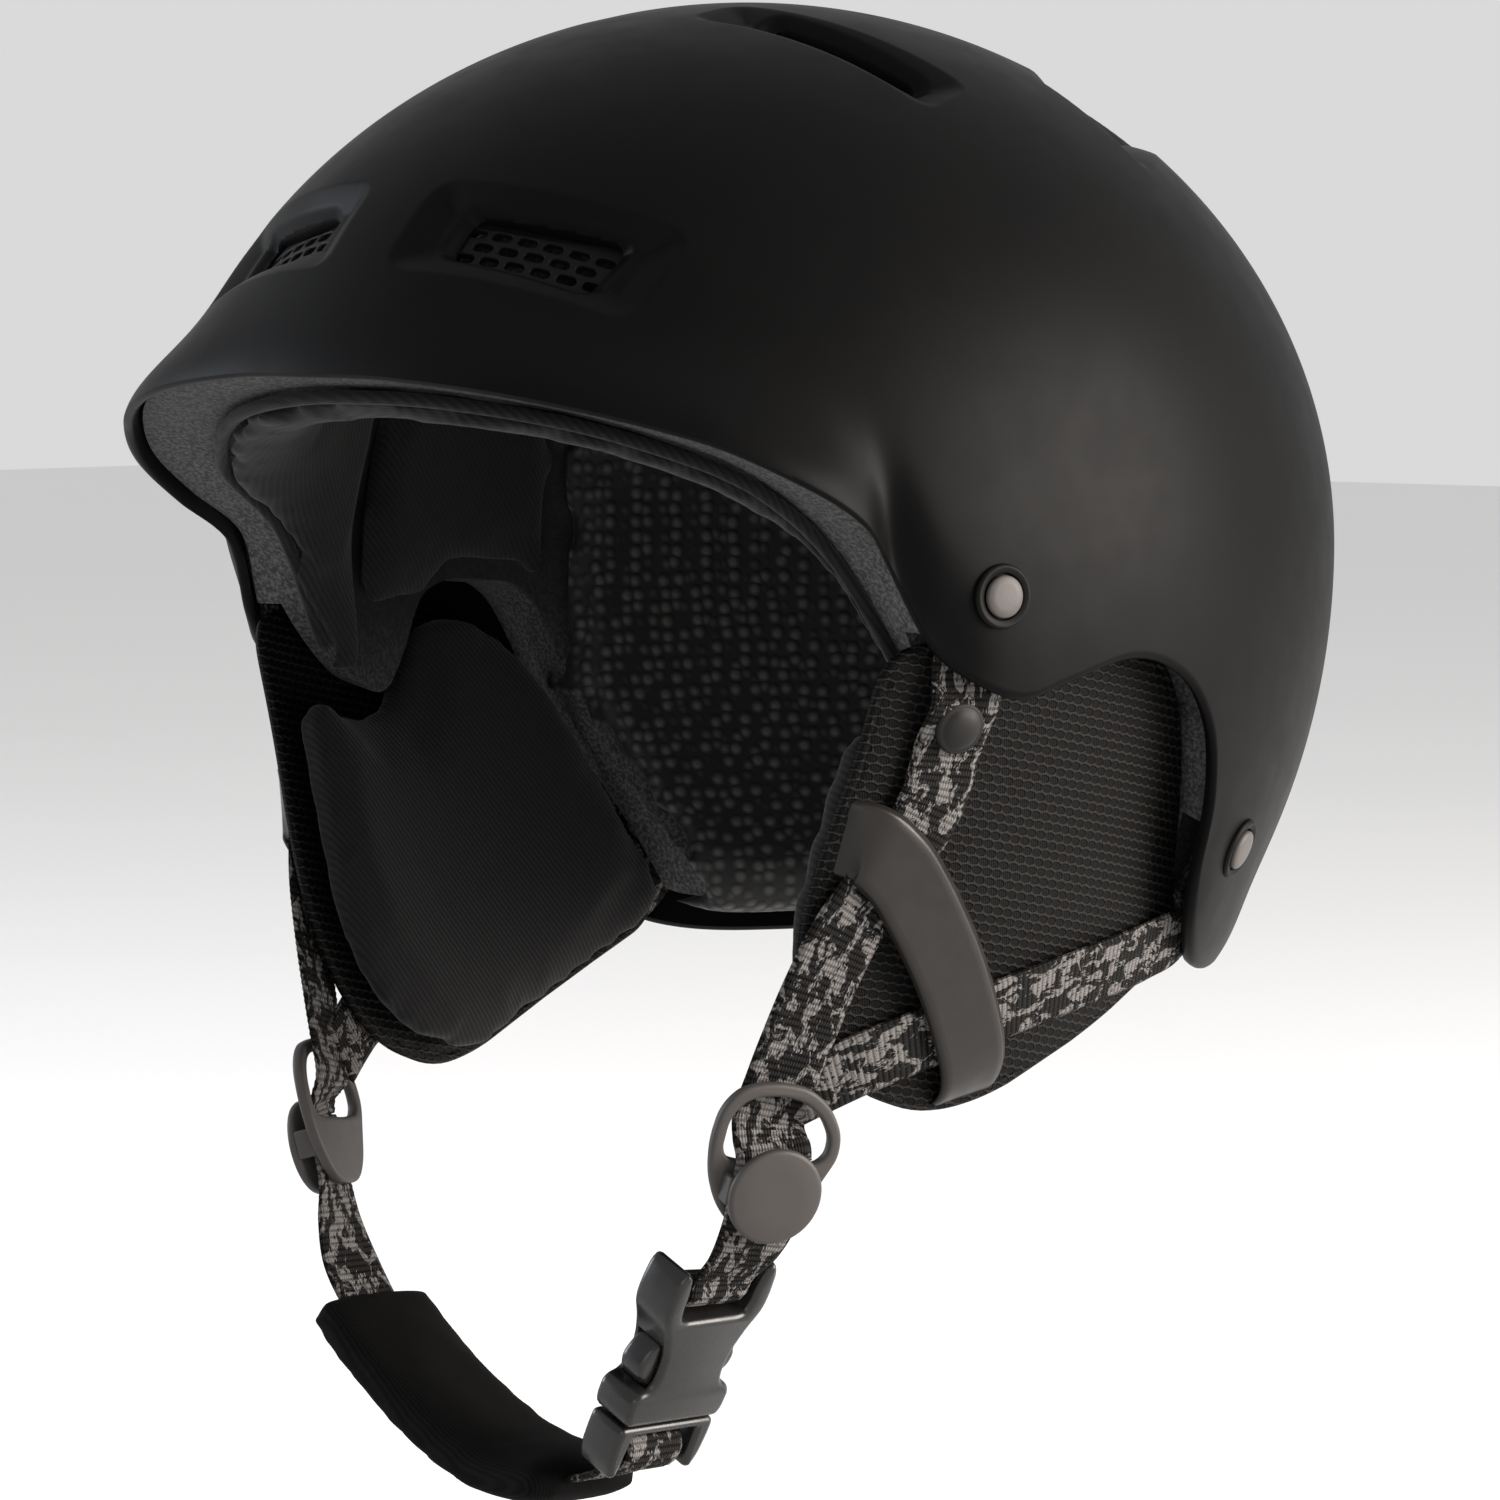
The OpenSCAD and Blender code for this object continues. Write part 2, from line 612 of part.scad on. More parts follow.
module pad_mesh_left() { pad_mesh(); }
module pad_foam_left() { pad_foam(); }
module pad_lining_left() { pad_lining(); }
module pad_band_left() { pad_band(); }
module pad_snap_left() { pad_snap(); }
module pad_mesh_right() { mirror([1, 0, 0]) pad_mesh(); }
module pad_foam_right() { mirror([1, 0, 0]) pad_foam(); }
module pad_lining_right() { mirror([1, 0, 0]) pad_lining(); }
module pad_band_right() { mirror([1, 0, 0]) pad_band(); }
module pad_snap_right() { mirror([1, 0, 0]) pad_snap(); }

// ---- Strap dividers ----
// Rounded three-cornered frame: arch above, round seat for the cap below
frame_w = 28;
frame_top = 15;
arch_r = 11;
corner_r = 5;
corner_y = 5.5;
seat_y = -4.5;
rail = 2.6;
window_low = 0.8;
module divider_outline() {
    hull() {
        for (side = [-1, 1])
            translate([side * (frame_w / 2 - corner_r), corner_y]) circle(r = corner_r, $fn = 32);
        translate([0, frame_top - arch_r]) circle(r = arch_r, $fn = 48);
        translate([0, seat_y]) circle(r = cap_r, $fn = 48);
    }
}
module divider_window() {
    intersection() {
        offset(delta = -rail) divider_outline();
        translate([-frame_w / 2, window_low]) square([frame_w, frame_top]);
    }
}
post_w = 1.2;
post_l = 6;
post_h = 3.6;
post_sink = 0.1;
post_x = webbing_w / 2 + post_w / 2 + 0.5;
cap_t = 2;
cap_lip = 0.6;
module divider() {
    color(plastic_brown) on_pad(divider_y, divider_z, divider_off) {
        linear_extrude(plate_t) difference() {
            divider_outline();
            divider_window();
        }
        // Two posts beside the webbing carry the round cap
        for (side = [-1, 1])
            translate([side * post_x - post_w / 2, seat_y - post_l / 2, plate_t - post_sink])
                cube([post_w, post_l, post_h]);
    }
}
module divider_cap() {
    color(plastic_brown) on_pad(divider_y, divider_z, divider_off)
        translate([0, seat_y, plate_t + post_h + ply_gap])
            cylinder(r = cap_r + cap_lip, h = cap_t, $fn = 48);
}
module divider_left() { divider(); }
module divider_right() { mirror([1, 0, 0]) divider(); }
module divider_cap_left() { divider_cap(); }
module divider_cap_right() { mirror([1, 0, 0]) divider_cap(); }

// ---- Buckle ----
// Frame on the buckle: X across, Y from the mouth up the socket, Z outwards
module on_buckle_frame() {
    multmatrix([[0, -down_way[0], out_way[0], mouth[0]], [1, 0, 0, loop_y],
        [0, -down_way[1], out_way[1], mouth[1]]]) children();
}
pocket_w = 22.4;
pocket_l = 22;
pocket_t = 7.6;
waist_w = 24.8;
mouth_l = 6;
waist_from = 12;
waist_to = 20;
horn_from = 26;
horn_slope = 2;
horn_tip_w = 2.5;
module socket_outline() {
    half = buckle_w / 2;
    waist = waist_w / 2;
    horn = half - 0.5;
    side = [[half, 0], [half, mouth_l], [waist, waist_from], [waist, waist_to],
        [horn, horn_from], [horn - horn_slope, socket_l],
        [horn - horn_slope - horn_tip_w, socket_l]];
    polygon(concat(side, [for (i = [len(side) - 1 : -1 : 0]) [-side[i][0], side[i][1]]]));
}
// The webbing passes through a slot and round a bar
through = 2 * buckle_t;
webbing_slot = webbing_w + 2;
socket_bar_y = -socket_bar;
bar_half = 2;
bar_back = 0.6;
horn_gap_l = 10;
bar_front_l = 7;
window_from = 7;
window_l = 12;
window_deep = 4;
module buckle_socket() {
    color(charcoal) on_buckle_frame() difference() {
        translate([0, 0, -buckle_t / 2]) linear_extrude(buckle_t) socket_outline();
        // Pocket for the plug, and the windows that its prongs show in
        translate([-pocket_w / 2, -1, -pocket_t / 2]) cube([pocket_w, pocket_l + 1, pocket_t]);
        for (side = [-1, 1])
            translate([side * buckle_w / 2 - window_deep, window_from, -pocket_t / 2])
                cube([2 * window_deep, window_l, pocket_t]);
        translate([-webbing_slot / 2, socket_bar_y + bar_half, -through / 2])
            cube([webbing_slot, horn_gap_l, through]);
        translate([-webbing_slot / 2, socket_bar_y - bar_front_l + bar_half, bar_back])
            cube([webbing_slot, bar_front_l + 1, through]);
    }
}
plug_w = 21;
base_end = 2.4;
base_gap = 0.4;
guide_w = 4;
guide_t = 4.4;
guide_l = 15;
guide_root = 0.5;
module buckle_plug() {
    color(charcoal) on_buckle_frame() {
        difference() {
            // Base with a bar for the webbing
            translate([-buckle_w / 2 + guide_root, -plug_bar - base_end, -buckle_t / 2])
                cube([buckle_w - 2 * guide_root, plug_bar + base_end - base_gap, buckle_t]);
            translate([-webbing_slot / 2, -plug_bar - 2 * bar_half, -through])
                cube([webbing_slot, 4 * bar_half, through - 1]);
            translate([-webbing_slot / 2, -plug_bar - 3 * bar_half, 1.4])
                cube([webbing_slot, 3 * bar_half, through]);
        }
        // Guide that runs in the middle of the socket
        translate([-guide_w / 2, -guide_root, -guide_t / 2]) cube([guide_w, guide_l, guide_t]);
    }
}
prong_t = 4;
prong_w = 4;
prong_l = 17;
prong_shoulder = 13;
prong_tip_w = 2;
prong_gap = 0.2;
prong_x = (plug_w - prong_w) / 2;
module prong(side) {
    half = prong_w / 2 * side;
    color(charcoal) on_buckle_frame() translate([side * prong_x, prong_gap, -prong_t / 2])
        linear_extrude(prong_t) polygon([[-half, 0], [half, 0], [half, prong_shoulder],
            [half - prong_tip_w * side, prong_l], [-half, prong_l]]);
}
module prong_front() { prong(-1); }
module prong_rear() { prong(1); }

// ---- Chin strap and chin pad ----
module lower_strap_left() { color(webbing_grey) loop_ribbon(lower_route, webbing_w, webbing_t); }
module chin_strap() { color(webbing_grey) loop_ribbon(chin_route, webbing_w, webbing_t); }
module chin_pad() {
    inside = [for (i = [pad_first - 1 : pad_last + 1]) chin_route[i]];
    first = (chin_route[pad_first - 1] + chin_route[pad_first]) / 2;
    last = (chin_route[pad_last] + chin_route[pad_last + 1]) / 2;
    outside = [first, for (i = [pad_first : pad_last]) chin_route[i], last];
    color(black) difference() {
        loop_ribbon(outside, chin_pad_w, chin_pad_t);
        loop_ribbon(inside, webbing_w + 3, webbing_t + 2.4);
    }
}

// ---- Goggle clip at the back ----
clip_z = 24;
clip_y = half_l + 5.2;
clip_plate = 1.4;
tab_t = 2;
clip_pin_r = 1.5;
clip_arm = 4;
stud_r = 5;
stud_lift = 8;
// Distance of the tab's plate behind its hinge
tab_back = 1.2;
module clip_base() {
    arm_x = tab_w / 2 + 0.6;
    color(charcoal) {
        translate([-arm_x - clip_arm, half_l + seat_gap, clip_z - 5])
            cube([2 * (arm_x + clip_arm), clip_plate, 10]);
        for (side = [-1, 1])
            translate([side * (arm_x + clip_arm / 2) - clip_arm / 2, half_l + seat_gap, clip_z - 4])
                cube([clip_arm, 6.4, 8]);
        translate([-arm_x - 1, clip_y, clip_z]) rotate([0, 90, 0])
            cylinder(r = clip_pin_r, h = 2 * (arm_x + 1), $fn = 32);
    }
}
module clip_tab() {
    color(black) difference() {
        union() {
            translate([-tab_w / 2, clip_y, clip_z]) rotate([0, 90, 0])
                cylinder(r = 3.2, h = tab_w, $fn = 32);
            translate([-tab_w / 2, clip_y + tab_back, clip_z - tab_l]) cube([tab_w, tab_t, tab_l]);
        }
        translate([-tab_w / 2 - 1, clip_y, clip_z]) rotate([0, 90, 0])
            cylinder(r = clip_pin_r + 0.06, h = tab_w + 2, $fn = 32);
    }
}
module clip_stud() {
    stud_z = clip_z - tab_l + stud_lift;
    top_z = stud_z + stud_r;
    y0 = half_l * sqrt(1 - pow((top_z - equator_z) / skirt_h, 2)) + seat_gap;
    color(charcoal) translate([0, y0, stud_z]) rotate([-90, 0, 0])
        cylinder(r = stud_r, h = clip_y + tab_back - ply_gap - y0, $fn = 32);
}

outer_shell();
foam_liner();
brow_pad();
crown_pad();
side_pad_left();
side_pad_right();
rear_pad();
front_grille_left();
front_grille_right();
top_grille_left();
top_grille_right();
rear_grille_left();
rear_grille_right();
strap_rivets();
rivet_washers();
front_strap_left();
front_strap_right();
rear_strap_left();
rear_strap_right();
pad_mesh_left();
pad_foam_left();
pad_lining_left();
pad_band_left();
pad_snap_left();
pad_mesh_right();
pad_foam_right();
pad_lining_right();
pad_band_right();
pad_snap_right();
divider_left();
divider_cap_left();
divider_right();
divider_cap_right();
lower_strap_left();
buckle_socket();
chin_strap();
buckle_plug();
prong_front();
prong_rear();
chin_pad();
clip_base();
clip_tab();
clip_stud();
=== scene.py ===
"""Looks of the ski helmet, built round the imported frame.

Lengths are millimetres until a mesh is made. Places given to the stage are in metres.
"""

import math

import bmesh
import bpy
import numpy as np
from mathutils import Matrix, Vector
from mathutils.geometry import delaunay_2d_cdt


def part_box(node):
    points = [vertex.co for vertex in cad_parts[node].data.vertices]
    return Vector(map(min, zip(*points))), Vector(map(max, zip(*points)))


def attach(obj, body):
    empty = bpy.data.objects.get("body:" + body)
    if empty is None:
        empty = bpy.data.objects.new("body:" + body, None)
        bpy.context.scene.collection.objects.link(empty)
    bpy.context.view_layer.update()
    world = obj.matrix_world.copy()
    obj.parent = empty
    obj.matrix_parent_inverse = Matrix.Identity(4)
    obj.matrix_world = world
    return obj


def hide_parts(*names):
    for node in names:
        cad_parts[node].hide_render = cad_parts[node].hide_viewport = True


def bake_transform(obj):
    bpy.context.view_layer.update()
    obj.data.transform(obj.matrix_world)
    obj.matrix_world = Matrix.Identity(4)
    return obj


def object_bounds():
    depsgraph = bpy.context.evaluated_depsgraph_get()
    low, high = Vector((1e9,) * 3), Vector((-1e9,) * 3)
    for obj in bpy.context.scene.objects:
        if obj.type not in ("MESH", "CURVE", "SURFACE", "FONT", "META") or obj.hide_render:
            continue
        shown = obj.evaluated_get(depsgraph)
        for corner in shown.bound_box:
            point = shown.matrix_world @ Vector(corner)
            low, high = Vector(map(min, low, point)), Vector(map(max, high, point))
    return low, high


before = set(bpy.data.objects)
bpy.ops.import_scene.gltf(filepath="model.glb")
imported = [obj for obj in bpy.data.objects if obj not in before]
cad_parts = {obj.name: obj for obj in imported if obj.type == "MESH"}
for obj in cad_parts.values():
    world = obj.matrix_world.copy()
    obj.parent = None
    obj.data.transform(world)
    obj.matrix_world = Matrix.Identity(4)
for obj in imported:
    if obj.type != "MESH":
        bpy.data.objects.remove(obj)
cad_low, cad_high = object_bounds()
MM = 0.001

# ---- Driving sizes, the same as the frame's ----
HALF_W, HALF_L, CROWN_H, SKIRT_H, EQUATOR_Z = 108.0, 134.0, 111.0, 134.0, 40.0
SHELL_T, FOAM_OUT, FOAM_IN, PADDING_OUT = 2.4, 3.2, 22.2, 23.4
# Rim of the shell: angle from the brow, height, outward flare
SHELL_RIM = [
    (0, 77.7, 2), (12, 77.3, 3), (28, 73.7, 7), (44, 66, 9), (53, 57.5, 8), (59, 49.5, 3),
    (62.5, 41, -5), (66.5, 26, -4.2), (71, 18.5, -0.8), (75.5, 15.6, 0), (80, 18.4, 0),
    (88, 22.6, 0), (95, 18.2, 0), (100.5, 7, 0), (104, -8, 0), (106.5, -23, 0), (111, -35, 1),
    (119, -43, 2), (135, -45, 3), (160, -42, 3), (180, -40, 3),
]
# Lower edge of the foam on its inner side
FOAM_RIM = [
    (0, 73.5), (28, 69.5), (44, 61.5), (53, 53), (59, 44), (64, 31), (69, 17), (73, 10), (77, 9.5),
    (81, 16), (86, 29), (95, 31), (102, 26), (107, 4), (110, -14), (114, -28), (121, -36),
    (150, -36), (180, -35),
]
# Height over which the rim flares, and how far the foam stays above the rim
FLARE_H, RIM_GAP = 12.0, 1.5
PAD_X, PAD_LEAN, PAD_R, PAD_HINGE_Z = 98.0, math.radians(17.2), 156.0, 20.0
PAD_AXIS_X = PAD_X - PAD_R / math.cos(PAD_LEAN)
MESH_OUTLINE = [
    (-57, 25), (-58, 2), (-61, -20), (-61, -36), (-54, -52), (-42, -63.5), (-24, -69.5), (-8, -67),
    (22, -54.5), (43, -44.5), (47.5, -39), (43, -28), (35, -6), (27, 10), (14, 22), (0, 26),
    (-20, 26), (-40, 26),
]
CORE_OUTLINE = [
    (-55, 3), (-59, -20), (-59, -36), (-52.5, -50.5), (-41, -61.5), (-24, -67.5), (-8, -65),
    (22, -52.5), (42, -42.5), (45, -38), (41, -28), (33, -6), (25, 9), (12, 20), (-2, 23),
    (-14, 17), (-22, 5), (-38, 1),
]
LINING_OUTLINE = [
    (-57.5, 7), (-59.5, 0), (-61.5, -20), (-61.5, -36), (-54.5, -52), (-42.5, -64), (-24, -70), (-8, -67.2),
    (22, -54.7), (43, -44.7), (47.5, -39), (43, -28), (35, -6), (26, 9), (13, 20), (-2, 23), (-14, 18),
    (-22, 6), (-38, 3), (-49, 6),
]
SIDES = {"left": 1, "right": -1}
RIB_PITCH = 1.35


# ---- Curves and surfaces ----
def curve(rows, at, column=1):
    """Hermite curve through rows of (position, value, ...), level at both ends."""
    rows = np.array(rows, float)
    x, y = rows[:, 0], rows[:, column]
    slope = np.zeros(len(x))
    slope[1:-1] = (y[2:] - y[:-2]) / (x[2:] - x[:-2])
    at = np.asarray(at, float)
    i = np.clip(np.searchsorted(x, at, side="right") - 1, 0, len(x) - 2)
    w = x[i + 1] - x[i]
    u = (at - x[i]) / w
    return (
        y[i] * (2 * u**3 - 3 * u**2 + 1)
        + slope[i] * w * (u**3 - 2 * u**2 + u)
        + y[i + 1] * (3 * u**2 - 2 * u**3)
        + slope[i + 1] * w * (u**3 - u**2)
    )


def fold(turn):
    """Angle off the brow, 0 to 180, of a turn all round the head."""
    turn = np.abs(np.asarray(turn, float)) % 360
    return np.where(turn > 180, 360 - turn, turn)


def height_scale(z, inset):
    return np.where(z > EQUATOR_Z, CROWN_H, SKIRT_H) - inset


def rise_at(z, inset):
    return np.degrees(np.arcsin((z - EQUATOR_Z) / height_scale(z, inset)))


def dome(turn, rise, inset):
    """Points of the helmet's dome, set in by inset."""
    turn, rise = np.radians(turn), np.radians(rise)
    up = np.where(rise > 0, CROWN_H, SKIRT_H) - inset
    return np.stack(
        [
            (HALF_W - inset) * np.cos(rise) * np.sin(turn),
            -(HALF_L - inset) * np.cos(rise) * np.cos(turn),
            EQUATOR_Z + up * np.sin(rise),
        ],
        axis=-1,
    )


def dome_x(y, z, inset):
    part = 1 - (y / (HALF_L - inset)) ** 2 - ((z - EQUATOR_Z) / height_scale(z, inset)) ** 2
    return float((HALF_W - inset) * math.sqrt(part))


def flared(points, turn):
    """The points moved out or in by the rim's flare."""
    above = points[..., 2] - curve(SHELL_RIM, fold(turn))
    out = curve(SHELL_RIM, fold(turn), 2) * np.exp(-((above / FLARE_H) ** 2))
    angle = np.radians(turn)
    way = np.stack([np.sin(angle), -np.cos(angle), np.zeros_like(angle)], axis=-1)
    return points + way * out[..., None]


def unit(v):
    return v / np.linalg.norm(v)


class Spot:
    """A frame that stands on the dome: across is level, up runs up the shell, out points away."""

    def __init__(self, turn, rise):
        self.at = dome(turn, rise, 0.0)
        half_h = CROWN_H if rise > 0 else SKIRT_H
        level = self.at - np.array([0, 0, EQUATOR_Z])
        self.out = unit(level / np.array([HALF_W**2, HALF_L**2, half_h**2]))
        self.across = unit(np.cross([0, 0, 1], self.out))
        self.up = np.cross(self.out, self.across)

    def local(self, points):
        d = points - self.at
        return d @ self.across, d @ self.up, d @ self.out

    def world(self, u, v, h):
        u, v, h = (np.asarray(a, float)[..., None] for a in (u, v, h))
        return self.at + u * self.across + v * self.up + h * self.out


def side_spot(y, z):
    x = dome_x(y, z, 0)
    half_h = CROWN_H if z > EQUATOR_Z else SKIRT_H
    turn = math.degrees(math.atan2(x / HALF_W, -y / HALF_L))
    return Spot(turn, math.degrees(math.asin((z - EQUATOR_Z) / half_h)))


def edge_distance(corners, u, v):
    """Signed distance to a closed outline, negative inside it."""
    corners = np.array(corners, float)
    best = np.full(np.shape(u), 1e9)
    inside = np.zeros(np.shape(u), bool)
    for a, b in zip(corners, np.roll(corners, -1, axis=0)):
        e = b - a
        t = np.clip(((u - a[0]) * e[0] + (v - a[1]) * e[1]) / (e @ e), 0, 1)
        best = np.minimum(best, np.hypot(u - a[0] - t * e[0], v - a[1] - t * e[1]))
        crosses = (a[1] > v) != (b[1] > v)
        rise = e[1] if e[1] else 1e-9
        inside ^= crosses & (u < a[0] + e[0] * (v - a[1]) / rise)
    return np.where(inside, -best, best)


def smooth(x):
    x = np.clip(x, 0, 1)
    return x * x * (3 - 2 * x)


def rounded(corners, radius, steps=6):
    """A closed outline with each corner replaced by an arc-like curve."""
    corners = np.array(corners, float)
    made = []
    for before, at, after in zip(np.roll(corners, 1, 0), corners, np.roll(corners, -1, 0)):
        reach = min(radius, np.linalg.norm(before - at) / 2.1, np.linalg.norm(after - at) / 2.1)
        a = at + unit(before - at) * reach
        b = at + unit(after - at) * reach
        for k in range(steps + 1):
            t = k / steps
            made.append((1 - t) ** 2 * a + 2 * t * (1 - t) * at + t * t * b)
    return np.array(made)


# ---- Meshes ----
def new_object(name, mesh):
    obj = bpy.data.objects.new(name, mesh)
    bpy.context.scene.collection.objects.link(obj)
    return obj


def mesh_object(name, points, faces):
    """A smooth-shaded object from points in millimetres."""
    mesh = bpy.data.meshes.new(name)
    mesh.from_pydata((np.asarray(points, float) * MM).tolist(), [], faces)
    mesh.validate()
    mesh.update()
    mesh.shade_smooth()
    return new_object(name, mesh)


def mend(obj):
    """Merges doubled points and turns every face outwards."""
    bm = bmesh.new()
    bm.from_mesh(obj.data)
    bmesh.ops.remove_doubles(bm, verts=bm.verts, dist=1e-6)
    bmesh.ops.recalc_face_normals(bm, faces=bm.faces)
    bm.to_mesh(obj.data)
    bm.free()
    return obj


def grid_faces(count, cols, closed=False):
    """Faces between rows of points that close all round. If closed, the last row meets the first."""
    faces = []
    for r in range(count if closed else count - 1):
        e = (r + 1) % count
        for c in range(cols):
            d = (c + 1) % cols
            faces.append((r * cols + c, r * cols + d, e * cols + d, e * cols + c))
    return faces


def hoop_mesh(name, rows):
    """Rows of points closed all round, with the last row joined to the first."""
    count, cols = rows.shape[:2]
    return mend(mesh_object(name, rows.reshape(-1, 3), grid_faces(count, cols, closed=True)))


def ring_mesh(name, rows, tips):
    """Rows of points, each closed all round, with a point that closes each end."""
    count, cols = rows.shape[:2]
    faces = grid_faces(count, cols)
    first, last = count * cols, count * cols + 1
    for c in range(cols):
        d = (c + 1) % cols
        faces.append((first, d, c))
        faces.append((last, (count - 1) * cols + c, (count - 1) * cols + d))
    points = np.concatenate([rows.reshape(-1, 3), np.array(tips)])
    return mend(mesh_object(name, points, faces))


def turned_rows(spot, profile, angle):
    """A ring of points on a spot for each (radius, height) of a profile."""
    return np.array([spot.world(r * np.cos(angle), r * np.sin(angle), h + 0 * angle) for r, h in profile])


def lathe(name, spot, profile, steps=64):
    """A round solid on a spot, from (radius, height) points between its two ends on the axis."""
    angle = np.linspace(0, 2 * math.pi, steps, endpoint=False)
    rows = turned_rows(spot, profile[1:-1], angle)
    tips = [spot.world(0, 0, profile[0][1]), spot.world(0, 0, profile[-1][1])]
    return ring_mesh(name, rows, tips)


def flat_shape(name, outlines, thick, bevel, place):
    """A plate filled between outlines, with rounded edges, placed by place(u, v, h)."""
    data = bpy.data.curves.new(name, "CURVE")
    data.dimensions = "2D"
    data.fill_mode = "BOTH"
    data.extrude = (thick / 2 - bevel) * MM
    data.bevel_depth = bevel * MM
    data.bevel_resolution = 2
    data.offset = -bevel * MM
    for outline in outlines:
        line = data.splines.new("POLY")
        line.points.add(len(outline) - 1)
        for point, (u, v) in zip(line.points, outline):
            point.co = (u * MM, v * MM, 0, 1)
        line.use_cyclic_u = True
    holder = new_object(name + ".curve", data)
    bpy.context.view_layer.update()
    shape = holder.evaluated_get(bpy.context.evaluated_depsgraph_get())
    mesh = bpy.data.meshes.new_from_object(shape)
    bpy.data.objects.remove(holder)
    co = np.array([v.co for v in mesh.vertices], float) / MM
    placed = place(co[:, 0], co[:, 1], co[:, 2]) * MM
    mesh.vertices.foreach_set("co", placed.astype(np.float32).ravel())
    mesh.materials.clear()
    obj = new_object(name, mesh)
    mend(obj)
    mesh.shade_smooth()
    mesh.set_sharp_from_angle(angle=math.radians(50))
    return obj


def prism(name, outline, place, low, high):
    """A closed prism over an outline, used to cut holes."""
    outline = np.array(outline)
    count = len(outline)
    points = np.concatenate([place(outline[:, 0], outline[:, 1], np.full(count, h)) for h in (low, high)])
    faces = [tuple(range(count)), tuple(range(2 * count - 1, count - 1, -1))]
    faces += [(i, (i + 1) % count, count + (i + 1) % count, count + i) for i in range(count)]
    return mend(mesh_object(name, points, faces))


def apply_modifiers(obj):
    shape = obj.evaluated_get(bpy.context.evaluated_depsgraph_get())
    mesh = bpy.data.meshes.new_from_object(shape)
    obj.modifiers.clear()
    obj.data = mesh
    return obj


def combine(obj, other, operation):
    """Boolean of two closed solids; the second one is used up."""
    step = obj.modifiers.new("combine", "BOOLEAN")
    step.operation = operation
    step.object = other
    step.solver = "MANIFOLD"
    bpy.context.view_layer.update()
    apply_modifiers(obj)
    bpy.data.objects.remove(other)
    return obj


def mirrored(obj, name):
    """A copy of obj for the other side of the helmet."""
    mesh = obj.data.copy()
    mesh.transform(Matrix.Diagonal((-1, 1, 1, 1)))
    mesh.flip_normals()
    return new_object(name, mesh)


def pad_point(y, z, off):
    """Points off the ear pad's outer face, which is a leaning cylinder."""
    y, z, off = (np.asarray(a, float) for a in (y, z, off))
    s = y / PAD_R
    c = np.sqrt(1 - s * s)
    x = PAD_AXIS_X + math.tan(PAD_LEAN) * (z - PAD_HINGE_Z) + PAD_R * c / math.cos(PAD_LEAN)
    return np.stack(
        [x + off * c * math.cos(PAD_LEAN), y + off * s, z - off * c * math.sin(PAD_LEAN)], axis=-1
    )


def pad_face(y, z, off):
    """The same face moved out level, as the frame's strap routes use it."""
    x = PAD_AXIS_X + math.tan(PAD_LEAN) * (z - PAD_HINGE_Z)
    return np.array([x + math.sqrt((PAD_R + off) ** 2 - y * y) / math.cos(PAD_LEAN), y, z])


def pad_normal(y):
    s = y / PAD_R
    c = math.sqrt(1 - s * s)
    return np.array([c * math.cos(PAD_LEAN), s, -c * math.sin(PAD_LEAN)])


def puffed(name, outline, low_off, high_off, edge, spacing, crown=0.0):
    """A closed cushion over an outline on the ear pad, with round edges and a crowned inner side."""
    outline = np.array(outline)
    lo, hi = outline.min(0), outline.max(0)
    ys, zs = np.meshgrid(np.arange(lo[0], hi[0], spacing), np.arange(lo[1], hi[1], spacing))
    ys = ys + (np.arange(ys.shape[0]) % 2 * spacing / 2)[:, None]
    keep = edge_distance(outline, ys, zs) < -spacing * 0.45
    inner = np.stack([ys[keep], zs[keep]], axis=-1)
    flat = [Vector(p) for p in np.concatenate([outline, inner])]
    border = [(i, (i + 1) % len(outline)) for i in range(len(outline))]
    verts, _, faces, _, _, _ = delaunay_2d_cdt(flat, border, [], 1, 1e-4)
    plan = np.array([tuple(v) for v in verts])
    deep = np.maximum(0, -edge_distance(outline, plan[:, 0], plan[:, 1]))
    deep[deep < spacing * 0.1] = 0
    swell = np.sqrt(1 - (1 - np.clip(deep / edge, 0, 1)) ** 2)
    middle, half = (low_off + high_off) / 2, (high_off - low_off) / 2
    bulge = crown * smooth(deep / 22.0)
    count = len(plan)
    outer = pad_point(plan[:, 0], plan[:, 1], middle + half * swell)
    inner = pad_point(plan[:, 0], plan[:, 1], middle - half * swell - bulge)
    tris = [tuple(f) for f in faces]
    back = [tuple(i + count for i in reversed(f)) for f in tris]
    obj = mesh_object(name, np.concatenate([outer, inner]), tris + back)
    return mend(obj)


SPLINE_STEPS = 24


def spline(points, step):
    """Evenly spaced points on a smooth line, their run along it, and the run at each given point."""
    points = np.array(points, float)
    ends = np.concatenate([[2 * points[0] - points[1]], points, [2 * points[-1] - points[-2]]])
    fine = []
    for i in range(1, len(ends) - 2):
        a, b, c, d = ends[i - 1 : i + 3]
        for t in np.linspace(0, 1, SPLINE_STEPS, endpoint=False):
            square, cube = 2 * a - 5 * b + 4 * c - d, 3 * b - a - 3 * c + d
            fine.append(0.5 * (2 * b + (c - a) * t + square * t**2 + cube * t**3))
    fine.append(points[-1])
    fine = np.array(fine)
    run = np.concatenate([[0], np.cumsum(np.linalg.norm(np.diff(fine[:, :3], axis=0), axis=1))])
    at = np.linspace(0, run[-1], max(2, int(round(run[-1] / step)) + 1))
    even = np.stack([np.interp(at, run, fine[:, k]) for k in range(fine.shape[1])], axis=-1)
    return even, at, run[::SPLINE_STEPS]


